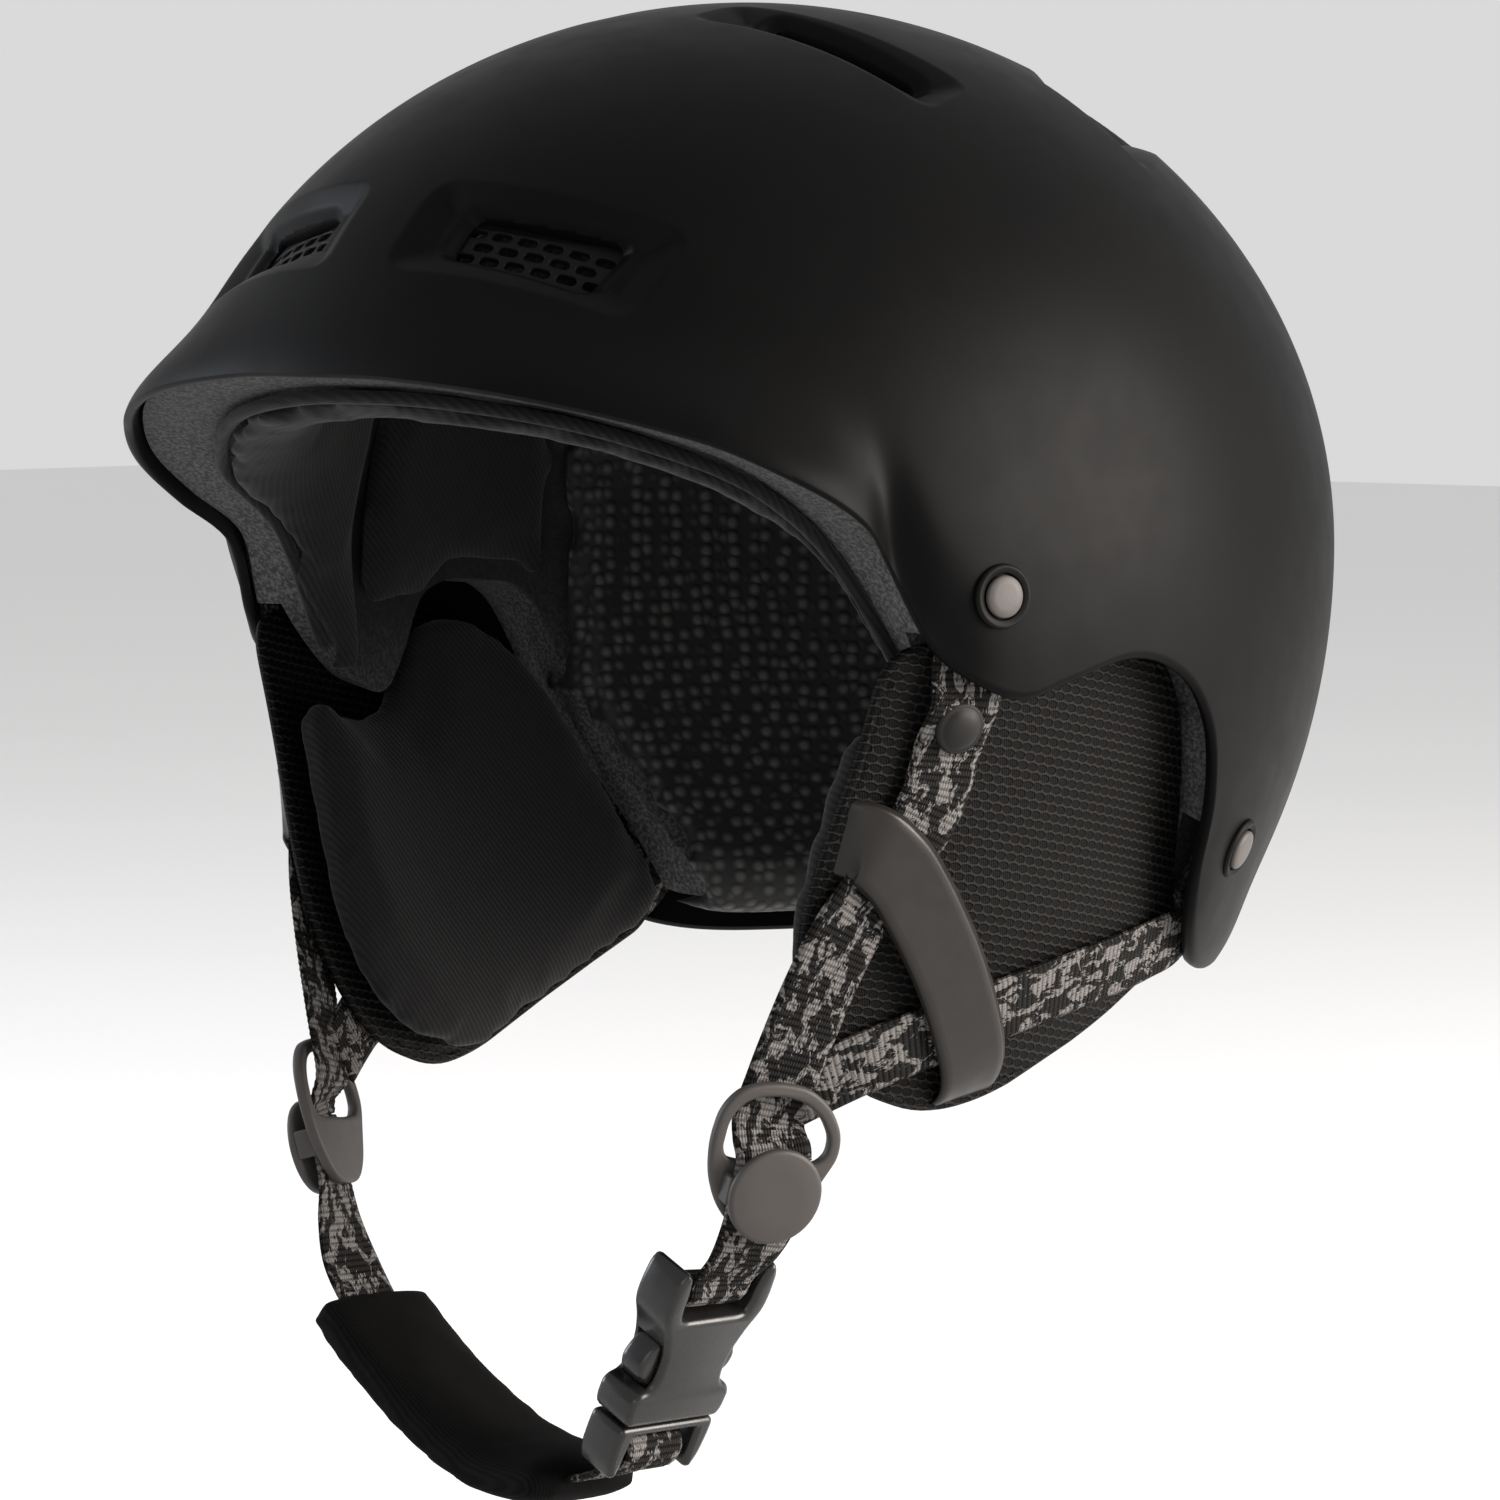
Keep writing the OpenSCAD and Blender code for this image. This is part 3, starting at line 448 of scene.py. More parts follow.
def ribbon(name, route, widthways, wide, thick, part=None, step=0.45, rib_h=0.13, edge=0.7):
    """A flat woven strap along a route, or along the part of it between two of its points."""
    both = np.concatenate([np.array(route, float), np.array([unit(w) for w in widthways])], axis=1)
    fine, run, marks = spline(both, step)
    line, across = fine[:, :3], fine[:, 3:]
    along = headings(line)
    across = across - along * np.sum(across * along, axis=1)[:, None]
    across /= np.linalg.norm(across, axis=1)[:, None]
    out = np.cross(along, across)
    if part:
        kept = slice(np.abs(run - marks[part[0]]).argmin(), np.abs(run - marks[part[1]]).argmin() + 1)
        line, across, out, run = line[kept], across[kept], out[kept], run[kept]
    places = np.linspace(-1, 1, 13)
    past = np.clip((np.abs(places) * wide / 2 - wide / 2 + edge) / edge, 0, 1)
    swell = np.sqrt(np.maximum(0, 1 - past**2))
    ribs = rib_h * np.cos(2 * math.pi * run / RIB_PITCH)
    rows = []
    profile_u = np.concatenate([places, places[-2:0:-1]])
    profile_h = np.concatenate([swell, -swell[-2:0:-1]])
    profile_h[0] = profile_h[len(places) - 1] = 0
    for i in range(len(line)):
        flat = 1 - np.abs(profile_u) ** 8
        half = thick / 2 - rib_h + ribs[i] * flat
        rows.append(
            line[i] + np.outer(profile_u * wide / 2, across[i]) + np.outer(profile_h * half, out[i])
        )
    rows = np.array(rows)
    obj = ring_mesh(name, rows, [line[0], line[-1]])
    layer = obj.data.uv_layers.new(name="weave")
    points = np.array([v.co for v in obj.data.vertices], float) / MM
    nearest = closest_rows(points, line)
    u = np.einsum("ij,ij->i", points - line[nearest], across[nearest])
    for loop in obj.data.loops:
        i = loop.vertex_index
        layer.data[loop.index].uv = (u[i] * MM, run[nearest[i]] * MM)
    return obj


def closest_rows(points, line):
    """Index of the nearest point of line for each point."""
    found = np.empty(len(points), int)
    block = 2000
    for first in range(0, len(points), block):
        part = points[first : first + block]
        gaps = ((part[:, None, :] - line[None, :, :]) ** 2).sum(-1)
        found[first : first + block] = gaps.argmin(1)
    return found


CLOTH_FRAMES, CLOTH_QUALITY, CLOTH_PRESSURE, CLOTH_STIFFNESS = 20, 4, 4, 15


def soften(obj, voxel, cap):
    """Swells a closed fabric piece by cloth simulation, each point by at most cap."""
    step = obj.modifiers.new("remesh", "REMESH")
    step.mode = "VOXEL"
    step.voxel_size = voxel * MM
    step.use_smooth_shade = True
    bpy.context.view_layer.update()
    apply_modifiers(obj)
    start = np.array([v.co for v in obj.data.vertices], float)
    cloth = obj.modifiers.new("cloth", "CLOTH")
    cloth.settings.quality = CLOTH_QUALITY
    cloth.settings.use_pressure = True
    cloth.settings.uniform_pressure_force = CLOTH_PRESSURE
    cloth.settings.effector_weights.gravity = 0
    cloth.settings.tension_stiffness = CLOTH_STIFFNESS
    cloth.settings.compression_stiffness = CLOTH_STIFFNESS
    cloth.point_cache.frame_start = 1
    cloth.point_cache.frame_end = CLOTH_FRAMES
    for at in range(1, CLOTH_FRAMES + 1):
        bpy.context.scene.frame_set(at)
    shape = obj.evaluated_get(bpy.context.evaluated_depsgraph_get())
    moved = np.array([v.co for v in shape.data.vertices], float)
    obj.modifiers.clear()
    bpy.context.scene.frame_set(1)
    shift = moved - start
    far = np.linalg.norm(shift, axis=1)
    scale = np.minimum(1, cap * MM / np.maximum(far, 1e-9))
    ended = start + shift * scale[:, None]
    obj.data.vertices.foreach_set("co", ended.astype(np.float32).ravel())
    obj.data.update()
    step = obj.modifiers.new("finer", "SUBSURF")
    step.levels = step.render_levels = 1
    bpy.context.view_layer.update()
    apply_modifiers(obj)
    obj.data.shade_smooth()
    return obj


# ---- Materials ----
class Shader:
    """A material with short names for its nodes."""

    def __init__(self, name, color, roughness, **sockets):
        self.material = bpy.data.materials.new(name)
        self.material.use_nodes = True
        self.tree = self.material.node_tree
        self.body = self.tree.nodes["Principled BSDF"]
        self.body.inputs["Base Color"].default_value = (*color, 1)
        self.body.inputs["Roughness"].default_value = roughness
        for key, value in sockets.items():
            self.body.inputs[key.replace("_", " ")].default_value = value
        self.place = self.node("ShaderNodeTexCoord").outputs["Object"]

    def node(self, kind, inputs=None, **settings):
        made = self.tree.nodes.new(kind)
        for key, value in settings.items():
            setattr(made, key, value)
        for key, value in (inputs or {}).items():
            if isinstance(value, bpy.types.NodeSocket):
                self.tree.links.new(value, made.inputs[key])
            else:
                made.inputs[key].default_value = value
        return made

    def noise(self, size, detail=3.0, place=None, rough=0.5, bend=0.0):
        inputs = {"Vector": place or self.place, "Scale": 1 / (size * MM), "Detail": detail}
        inputs |= {"Roughness": rough, "Distortion": bend}
        return self.node("ShaderNodeTexNoise", inputs).outputs["Fac"]

    def cells(self, size, random=1.0):
        inputs = {"Vector": self.place, "Scale": 1 / (size * MM), "Randomness": random}
        return self.node("ShaderNodeTexVoronoi", inputs).outputs["Distance"]

    def math(self, operation, *values):
        return self.node("ShaderNodeMath", dict(enumerate(values)), operation=operation).outputs[0]

    def vector(self, operation, *values):
        return self.node("ShaderNodeVectorMath", dict(enumerate(values)), operation=operation).outputs

    def ramp(self, value, low, high, from_value=0.0, to_value=1.0):
        inputs = {"Value": value, "From Min": low, "From Max": high}
        inputs |= {"To Min": from_value, "To Max": to_value}
        return self.node("ShaderNodeMapRange", inputs, interpolation_type="SMOOTHSTEP").outputs["Result"]

    def mix(self, share, first, second):
        made = self.node("ShaderNodeMix", data_type="RGBA")
        self.tree.links.new(share, made.inputs[0])
        for slot, value in ((6, first), (7, second)):
            if isinstance(value, bpy.types.NodeSocket):
                self.tree.links.new(value, made.inputs[slot])
            else:
                made.inputs[slot].default_value = (*value, 1)
        return made.outputs[2]

    def color(self, socket):
        self.tree.links.new(socket, self.body.inputs["Base Color"])

    def roughness(self, socket):
        self.tree.links.new(socket, self.body.inputs["Roughness"])

    def bump(self, height, depth, strength=1.0):
        last = self.body.inputs["Normal"].links
        inputs = {"Height": height, "Distance": depth * MM, "Strength": strength}
        if last:
            inputs["Normal"] = last[0].from_socket
        made = self.node("ShaderNodeBump", inputs)
        self.tree.links.new(made.outputs["Normal"], self.body.inputs["Normal"])


def shell_paint():
    s = Shader("shell", (0.003, 0.003, 0.003), 0.42, Specular_IOR_Level=0.042)
    cloud = s.noise(22.0)
    s.color(s.mix(cloud, (0.0018, 0.0018, 0.002), (0.0026, 0.0025, 0.0024)))
    s.roughness(s.ramp(s.noise(9.0), 0.2, 0.8, 0.42, 0.48))
    s.bump(s.noise(0.5, 2.0), 0.03, 0.5)
    return s.material


def bead_foam():
    """Grey at the rim, and near black on the inner wall, which lies on a smaller dome; the near black is
    painted shade of the helmet's inside.
    """
    s = Shader("bead_foam", (0.1, 0.1, 0.1), 0.85, Specular_IOR_Level=0.3)
    beads = s.cells(2.6)
    speck = s.ramp(s.noise(0.8, 2.0), 0.35, 0.7)
    centred = s.vector("ADD", s.place, (0, 0, -EQUATOR_Z * MM))[0]
    inside = (1000 / (HALF_W - FOAM_IN), 1000 / (HALF_L - FOAM_IN), 1000 / (CROWN_H - FOAM_IN))
    away = s.vector("LENGTH", s.vector("MULTIPLY", centred, inside)[0])["Value"]
    rim = s.mix(speck, (0.014, 0.014, 0.0145), (0.06, 0.06, 0.06))
    # Painted shade: the inner wall is darkened to near black, as shade falls inside the helmet.
    wall = s.mix(speck, (0.003, 0.003, 0.003), (0.009, 0.009, 0.009))
    s.color(s.mix(s.ramp(away, 1.0, 1.03), wall, rim))
    s.bump(beads, 0.25, 0.6)
    s.bump(s.noise(0.6, 3.0), 0.12, 0.7)
    return s.material


def stripes(s, pitch, way, wobble=0.12):
    """Fine parallel ribs, 0 to 1, that run across the direction way."""
    way = unit(np.array(way, float)) * (2 * math.pi / (pitch * MM))
    dot = s.vector("DOT_PRODUCT", s.place, tuple(way))["Value"]
    shaken = s.math("ADD", dot, s.math("MULTIPLY", s.noise(3.0, 2.0), wobble * 2 * math.pi))
    return s.math("MULTIPLY_ADD", s.math("SINE", shaken), 0.5, 0.5)


def jersey():
    """Black lining with fine slanting ribs, and painted shade in the grooves between them."""
    sheen = {"Sheen_Weight": 0.06, "Sheen_Roughness": 0.5}
    s = Shader("jersey", (0.02, 0.02, 0.02), 0.92, Specular_IOR_Level=0.15, **sheen)
    ribs = stripes(s, 1.1, (0.2, 0.75, 0.6))
    knit = stripes(s, 0.8, (0.1, -0.6, 0.8))
    # Painted shade: darker in the grooves, where the ribs' bump is low.
    s.color(s.mix(ribs, (0.003, 0.003, 0.0031), (0.0085, 0.0083, 0.0082)))
    s.bump(ribs, 0.12, 0.8)
    s.bump(knit, 0.05, 0.5)
    s.bump(s.noise(14.0), 0.8, 0.35)
    return s.material


def bumpy_mesh():
    s = Shader("bumpy_mesh", (0.01, 0.01, 0.01), 0.7, Sheen_Weight=0.05, Specular_IOR_Level=0.25)
    knot = s.cells(3.0, random=0.35)
    # Painted shade: dark in the dips between the knots, light on their bumped tops.
    s.color(s.mix(s.ramp(knot, 0.15, 0.55), (0.034, 0.0335, 0.033), (0.0035, 0.0035, 0.0035)))
    s.bump(s.ramp(knot, 0.1, 0.6, 1.0, 0.0), 0.7, 0.9)
    s.bump(s.noise(0.5, 2.0), 0.06, 0.6)
    return s.material


def hole_grid(s, pitch_y, pitch_z, slant):
    """0 in a staggered grid of oblong holes over the ear pad, 1 on the threads between them."""
    parts = s.node("ShaderNodeSeparateXYZ", {0: s.place}).outputs
    lean = s.math("MULTIPLY", parts["Y"], slant)
    row = s.math("MULTIPLY", s.math("ADD", parts["Z"], lean), 1 / (pitch_z * MM))
    shift = s.math("MULTIPLY", s.math("MODULO", s.math("ADD", s.math("FLOOR", row), 1000.0), 2.0), 0.5)
    column = s.math("ADD", s.math("MULTIPLY", parts["Y"], 1 / (pitch_y * MM)), shift)
    y = s.math("MULTIPLY", s.math("SUBTRACT", s.math("FRACT", column), 0.5), 1.55)
    z = s.math("MULTIPLY", s.math("SUBTRACT", s.math("FRACT", row), 0.5), 1.9)
    reach = s.math("SQRT", s.math("ADD", s.math("MULTIPLY", y, y), s.math("MULTIPLY", z, z)))
    return s.ramp(reach, 0.66, 0.92)


def spacer_mesh():
    s = Shader("spacer_mesh", (0.015, 0.015, 0.015), 0.62, Specular_IOR_Level=0.08)
    threads = hole_grid(s, 2.7, 1.8, 0.18)
    # Painted shade: near black in the holes, where the bump is low.
    s.color(s.mix(threads, (0.0003, 0.0003, 0.0003), (0.0125, 0.0115, 0.0105)))
    s.bump(threads, 0.9, 1.0)
    s.bump(stripes(s, 0.5, (0, 1, 0.3)), 0.08, 0.6)
    return s.material


def webbing():
    """Black webbing with a pale printed splash, and painted shade that darkens it between its ribs."""
    s = Shader("webbing", (0.03, 0.03, 0.03), 0.8, Specular_IOR_Level=0.08)
    flat = s.node("ShaderNodeUVMap", uv_map="weave").outputs["UV"]
    parts = s.node("ShaderNodeSeparateXYZ", {0: flat}).outputs
    stretched = s.vector("MULTIPLY", flat, (1.6, 0.9, 1.0))[0]
    splash = s.noise(5.0, 6.0, place=stretched, rough=0.6, bend=0.8)
    veins = s.noise(2.6, 6.0, place=stretched, rough=0.62, bend=1.4)
    drops = s.noise(1.1, 4.0, place=stretched, rough=0.6)
    large = s.math("MULTIPLY", s.ramp(splash, 0.51, 0.53), s.ramp(veins, 0.4, 0.43))
    small = s.math("MAXIMUM", s.ramp(veins, 0.63, 0.65), s.math("MULTIPLY", s.ramp(drops, 0.68, 0.7), 0.7))
    print_share = s.math("MAXIMUM", large, small)
    yarn = s.math("SINE", s.math("MULTIPLY", parts["X"], 2 * math.pi / (0.62 * MM)))
    pick = s.math("COSINE", s.math("MULTIPLY", parts["Y"], 2 * math.pi / (RIB_PITCH * MM)))
    # Painted shade: the colour darkens in the grooves between the ribs, in step with the strap's ridged
    # shape.
    rib_shading = s.ramp(pick, -0.9, 0.3)
    dark = s.mix(rib_shading, (0.001, 0.001, 0.001), (0.009, 0.0084, 0.0078))
    light = s.mix(rib_shading, (0.06, 0.057, 0.055), (0.125, 0.118, 0.114))
    s.color(s.mix(print_share, dark, light))
    s.bump(yarn, 0.08, 0.8)
    return s.material


def chin_knit():
    s = Shader("chin_knit", (0.004, 0.004, 0.004), 0.85, Specular_IOR_Level=0.04)
    ribs = stripes(s, 0.6, (0.1, 1.0, 0.1), 0.08)
    # Painted shade: darker in the grooves, where the ribs' bump is low.
    s.color(s.mix(ribs, (0.0018, 0.0018, 0.0018), (0.0042, 0.0041, 0.004)))
    s.bump(ribs, 0.06, 0.7)
    s.bump(s.noise(0.5, 2.0), 0.05, 0.5)
    return s.material


def plastic(name, color, roughness, grain=0.5, grain_h=0.03, **sockets):
    """Moulded plastic with a fine grain and a faint cloud in its colour."""
    s = Shader(name, color, roughness, **sockets)
    cloud = s.noise(8.0)
    s.color(s.mix(cloud, tuple(0.88 * c for c in color), tuple(1.12 * c for c in color)))
    s.roughness(s.ramp(s.noise(4.0), 0.2, 0.8, roughness - 0.04, roughness + 0.05))
    s.bump(s.noise(grain, 2.0), grain_h, 0.6)
    return s.material


LOOKS = {
    "shell_black": shell_paint(),
    "foam_grey": bead_foam(),
    "lining_black": jersey(),
    "spacer_mesh": bumpy_mesh(),
    "outer_mesh": spacer_mesh(),
    "grille_black": plastic("grille", (0.0042, 0.0041, 0.004), 0.48, Specular_IOR_Level=0.07),
    "rivet_grey": plastic("rivet", (0.055, 0.05, 0.047), 0.5, Specular_IOR_Level=0.25),
    "washer_black": plastic("washer", (0.004, 0.0037, 0.0035), 0.5, Specular_IOR_Level=0.06),
    "webbing": webbing(),
    "band_brown": plastic("band", (0.0105, 0.0092, 0.0082), 0.36, Specular_IOR_Level=0.22),
    "snap_grey": plastic("snap", (0.007, 0.0066, 0.0062), 0.45, Specular_IOR_Level=0.14),
    "divider_grey": plastic("divider", (0.04, 0.0365, 0.0345), 0.5, Specular_IOR_Level=0.2),
    "buckle_black": plastic("buckle", (0.007, 0.0068, 0.0066), 0.27, Specular_IOR_Level=0.36),
    "chin_fabric": chin_knit(),
    "clip_rubber": plastic("clip_rubber", (0.01, 0.01, 0.01), 0.6, 0.8, 0.05, Specular_IOR_Level=0.3),
}


def finish_piece(obj, body, slot, *nodes, look=None):
    """Gives a new piece its look and its body, and hides the CAD nodes that it stands for."""
    obj.data.materials.clear()
    obj.data.materials.append(LOOKS[look or slot])
    if nodes:
        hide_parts(*nodes)
    if body:
        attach(obj, body)
    return obj


# ---- Vents ----
class Vent:
    """A hole in the shell and the scoop round it, placed by turn and rise on the left side."""

    def __init__(self, key, turn, rise, hole, recess, slant):
        self.key, self.turn, self.rise = key, turn, rise
        self.spot = Spot(turn, rise)
        self.hole = rounded(hole, 3.5)
        self.recess = recess
        self.slant = math.radians(slant)

    def drop(self, points):
        """How far the scoop round the vent lies below the dome."""
        u, v, h = self.spot.local(points)
        near = np.where(h > -30, 1.0, 0.0)
        scoop = SCOOP_DEPTH * np.clip(-edge_distance(self.recess, u, v) / SCOOP_RUN, 0, 1) ** 1.15
        lip = LIP_DEPTH * smooth((LIP_RUN / 2 - edge_distance(self.hole, u, v)) / LIP_RUN)
        return near * (scoop + lip)


SCOOP_DEPTH, SCOOP_RUN, LIP_DEPTH, LIP_RUN = 3.0, 7.0, 2.2, 3.4
VENTS = [
    Vent("front", 23, 35, [(-14, 10), (20, 2.5), (13, -11), (-18, -1)],
         rounded([(-22, 18), (32, 5), (23, -18), (-30, -4)], 6), -15),
    Vent("top", 70, 65, [(-13, 20), (-1, 25), (16, -9), (6, -15)],
         rounded([(-21, 27), (-4, 35), (24, -12), (8, -23)], 6), -66),
    Vent("rear", 131, 53, [(-14, -8), (-8, 9), (17, 8), (20, -4)],
         rounded([(-23, -16), (-14, 18), (26, 16), (31, -11)], 6), 4),
]
# Share by which the cut hole is smaller than the drawn outline
HOLE_INSET = 1 / 14.0
DOME_R = 118.0


def dome_drop(u, v):
    """How far the dome curves away under a level plane that touches it."""
    return (u * u + v * v) / (2 * DOME_R)


def scooped(points):
    """Dome points with the scoops of all vents, on both sides, pressed in."""
    for side in (1, -1):
        seen = points * np.array([side, 1, 1])
        for vent in VENTS:
            deep = vent.drop(seen)[..., None]
            seen = seen - deep * vent.spot.out
        points = seen * np.array([side, 1, 1])
    return points


def vent_cutters():
    """Prisms through the holes of all six vents."""
    made = []
    for vent in VENTS:
        inner = vent.hole * (1 - HOLE_INSET)
        cutter = prism("cutter", inner, vent.spot.world, -42, 14)
        made += [cutter, mirrored(cutter, "cutter")]
    return made


def slot_outline(u, v, slant, long=4.4, wide=2.0, steps=5):
    """A round-ended slot."""
    ring = []
    for end in (1, -1):
        for k in range(steps + 1):
            angle = math.pi * (k / steps - 0.5) + (0 if end > 0 else math.pi)
            ring.append((end * (long - wide) / 2 + wide / 2 * math.cos(angle), wide / 2 * math.sin(angle)))
    c, s = math.cos(slant), math.sin(slant)
    return [(u + c * a - s * b, v + s * a + c * b) for a, b in ring]


GRILLE_DEPTH, GRILLE_T = 6.6, 1.6
SLOT_PITCH, SLOT_MARGIN = (5.6, 3.1), 1.7


def grilles():
    """A plate with staggered slots behind each vent."""
    for vent in VENTS:
        outlines = [list(map(tuple, vent.hole * 1.02))]
        c, s = math.cos(vent.slant), math.sin(vent.slant)
        for i in range(-8, 9):
            for j in range(-10, 11):
                a = (i + (0.5 if j % 2 else 0)) * SLOT_PITCH[0]
                b = j * SLOT_PITCH[1]
                u, v = c * a - s * b, s * a + c * b
                if edge_distance(vent.hole, np.array(u), np.array(v)) < -SLOT_MARGIN:
                    outlines.append(slot_outline(u, v, vent.slant))

        def place(u, v, h, spot=vent.spot):
            return spot.world(u, v, h - GRILLE_DEPTH - dome_drop(u, v))

        left = flat_shape(f"vent_grille_{vent.key}_left", outlines, GRILLE_T, 0.3, place)
        right = mirrored(left, f"vent_grille_{vent.key}_right")
        finish_piece(left, "helmet", "grille_black", f"{vent.key}_grille_left")
        finish_piece(right, "helmet", "grille_black", f"{vent.key}_grille_right")


# ---- Hard shell and foam ----
COLUMNS = 800
TURNS = np.linspace(0, 360, COLUMNS, endpoint=False)


def dome_rows(low_z, inset, rows, growth=1.0):
    """Rows of dome points from a rim height up to just below the crown."""
    low = rise_at(low_z, inset)
    share = np.linspace(0, 1, rows) ** growth
    return dome(TURNS[None, :], low[None, :] + (89.4 - low[None, :]) * share[:, None], inset)


def rim_rows(outer, inner, sag, rows):
    """Rows that round a rim between its outer and inner edge."""
    share = np.linspace(0, 1, rows + 2)[1:-1]
    made = outer[None] * (1 - share)[:, None, None] + inner[None] * share[:, None, None]
    made[..., 2] -= sag * np.sin(np.pi * share)[:, None]
    return made


def hard_shell():
    """The moulded shell, scooped round its vents and cut through at them."""
    rim = curve(SHELL_RIM, fold(TURNS))
    outer = scooped(flared(dome_rows(rim, 0.0, 270), TURNS[None, :]))
    inner = scooped(flared(dome_rows(rim, SHELL_T, 80), TURNS[None, :]))
    rows = np.concatenate([outer[::-1], rim_rows(outer[0], inner[0], 0.9, 4), inner])
    tips = [outer[-1].mean(0), inner[-1].mean(0)]
    shell = ring_mesh("hard_shell", rows, tips)
    for cutter in vent_cutters():
        combine(shell, cutter, "DIFFERENCE")
    shell.data.shade_smooth()
    shell.data.set_sharp_from_angle(angle=math.radians(60))
    finish_piece(shell, "helmet", "shell_black", "outer_shell")


PIPE_REACH = 200


def pad_tube(inner, outer):
    """Closed pipe round the ear pad's own axis."""
    angle = np.linspace(0, 2 * math.pi, 240, endpoint=False)
    axis = np.array([math.sin(PAD_LEAN), 0, math.cos(PAD_LEAN)])
    across = np.array([math.cos(PAD_LEAN), 0, -math.sin(PAD_LEAN)])
    centre = np.array([PAD_AXIS_X - math.tan(PAD_LEAN) * PAD_HINGE_Z, 0, 0])

    def ring(radius, along):
        way = np.outer(np.cos(angle), across) + np.outer(np.sin(angle), [0, 1, 0])
        return centre + axis * along + way * radius

    wide, narrow = PAD_R + outer, PAD_R + inner
    low, high = -PIPE_REACH, PIPE_REACH
    rows = [ring(narrow, low), ring(wide, low), ring(wide, high), ring(narrow, high)]
    return hoop_mesh("tube", np.array(rows))


def pad_room(grow=3.0):
    """Solids of the free room round both ear pads."""
    made = []
    for outline, inner, outer in ((MESH_OUTLINE, -5.5, 8.0), (CORE_OUTLINE, -20.9, 0.0)):
        middle = np.array(outline, float).mean(0)
        wider = []
        for p in np.array(outline, float):
            reach = p - middle
            wider.append(middle + reach * (1 + grow / np.linalg.norm(reach)))

        def place(y, z, x):
            return np.stack([x, y, z], axis=-1)

        block = prism("room", rounded(wider, 7), place, 20, 190)
        combine(block, pad_tube(inner, outer), "INTERSECT")
        made += [block, mirrored(block, "room")]
    return made


STRAP_ROOM_W, STRAP_ROOM_T = 21.0, 10.6


def strap_room(route):
    """Solid of the free room round a strap's riveted end, on both sides."""
    wide, thick = STRAP_ROOM_W, STRAP_ROOM_T
    ends = np.array(route[:4], float)
    rows = []
    for i, p in enumerate(ends):
        along = unit(ends[min(i + 1, 3)] - ends[max(i - 1, 0)])
        across = unit(np.array([-((HALF_W / HALF_L) ** 2) * p[1] / p[0], 1, 0]))
        out = unit(np.cross(along, across))
        corners = ((-1, -1), (1, -1), (1, 1), (-1, 1))
        rows.append([p + across * a * wide / 2 + out * b * thick / 2 for a, b in corners])
    rows = np.array(rows)
    block = ring_mesh("room", rows, [rows[0].mean(0), rows[-1].mean(0)])
    return [block, mirrored(block, "room")]


def foam_liner():
    """The foam, with room cut for the vents, the ear pads and the straps' riveted ends."""
    rim = curve(SHELL_RIM, fold(TURNS))
    low = curve(FOAM_RIM, fold(TURNS))
    edge = np.maximum(rim + RIM_GAP, low)
    outer = scooped(flared(dome_rows(edge, FOAM_OUT, 90), TURNS[None, :]))
    inner = dome_rows(low, FOAM_IN, 60)
    rows = np.concatenate([outer[::-1], rim_rows(outer[0], inner[0], 0.8, 12), inner])
    foam = ring_mesh("bead_foam_liner", rows, [outer[-1].mean(0), inner[-1].mean(0)])
    for cutter in vent_cutters() + pad_room() + strap_room(FRONT_ROUTE) + strap_room(REAR_ROUTE):
        combine(foam, cutter, "DIFFERENCE")
    foam.data.shade_smooth()
    foam.data.set_sharp_from_angle(angle=math.radians(50))
    finish_piece(foam, "helmet", "foam_grey", "foam_liner")


# ---- Comfort padding ----
BROW_TURN, SIDE_TURN, PANEL_GAP = 72.0, 104.0, 0.6
BROW_TOP_Z, BROW_LOW_Z, SIDE_TOP_Z, SIDE_LOW_Z = 95.0, 19.0, 76.0, 25.0


def cushion(name, base, thick, edge, crown):
    """A padded sheet that lies on a grid of points, with round edges and a crowned free side."""
    rows, cols = base.shape[:2]
    normal = np.cross(np.gradient(base, axis=1), np.gradient(base, axis=0))
    normal /= np.linalg.norm(normal, axis=-1)[..., None]
    if np.sum(normal * (np.array([0, 0, EQUATOR_Z]) - base)) < 0:
        normal = -normal
    up_steps = np.linalg.norm(np.diff(base, axis=0), axis=-1)
    along_steps = np.linalg.norm(np.diff(base, axis=1), axis=-1)
    up = np.cumsum(np.concatenate([np.zeros((1, cols)), up_steps]), axis=0)
    along = np.cumsum(np.concatenate([np.zeros((rows, 1)), along_steps], axis=1), axis=1)
    deep = np.minimum.reduce([up, up[-1:] - up, along, along[:, -1:] - along])
    swell = np.sqrt(1 - (1 - np.clip(deep / edge, 0, 1)) ** 2)
    outer = base + normal * (thick / 2 * (1 - swell))[..., None]
    inner = base + normal * (thick / 2 * (1 + swell) + crown * smooth(deep / 18))[..., None]
    count = rows * cols
    faces = []
    for r in range(rows - 1):
        for c in range(cols - 1):
            a = r * cols + c
            faces.append((a, a + 1, a + cols + 1, a + cols))
            faces.append((count + a, count + a + cols, count + a + cols + 1, count + a + 1))
    points = np.concatenate([outer.reshape(-1, 3), inner.reshape(-1, 3)])
    return mend(mesh_object(name, points, faces))


PAD_STEP = 2.6
PADDING_BASE = FOAM_IN + 0.5


def panel_base(start, end, low, high):
    """Grid of points on the inside of the foam, between two turns and two heights."""
    cols = int((end - start) * math.radians(100) / PAD_STEP)
    turn = np.linspace(start, end, cols)
    low_rise = rise_at(low(fold(turn)), PADDING_BASE)
    high_rise = rise_at(high(fold(turn)), PADDING_BASE)
    rows = int(max(high_rise - low_rise) * math.radians(95) / PAD_STEP)
    share = np.linspace(0, 1, rows)[:, None]
    rise = low_rise[None, :] + (high_rise - low_rise)[None, :] * share
    return turn, dome(turn[None, :] + 0 * rise, rise, PADDING_BASE)


def panel(name, start, end, low, high):
    return cushion(name, panel_base(start, end, low, high)[1], 4.4, 5.0, 1.2)


LIP_START, LIP_LAST, LIP_END_TURN, LIP_FADE, REAR_LIP = 0.6, 0.9, 48.0, 12.0, 0.5


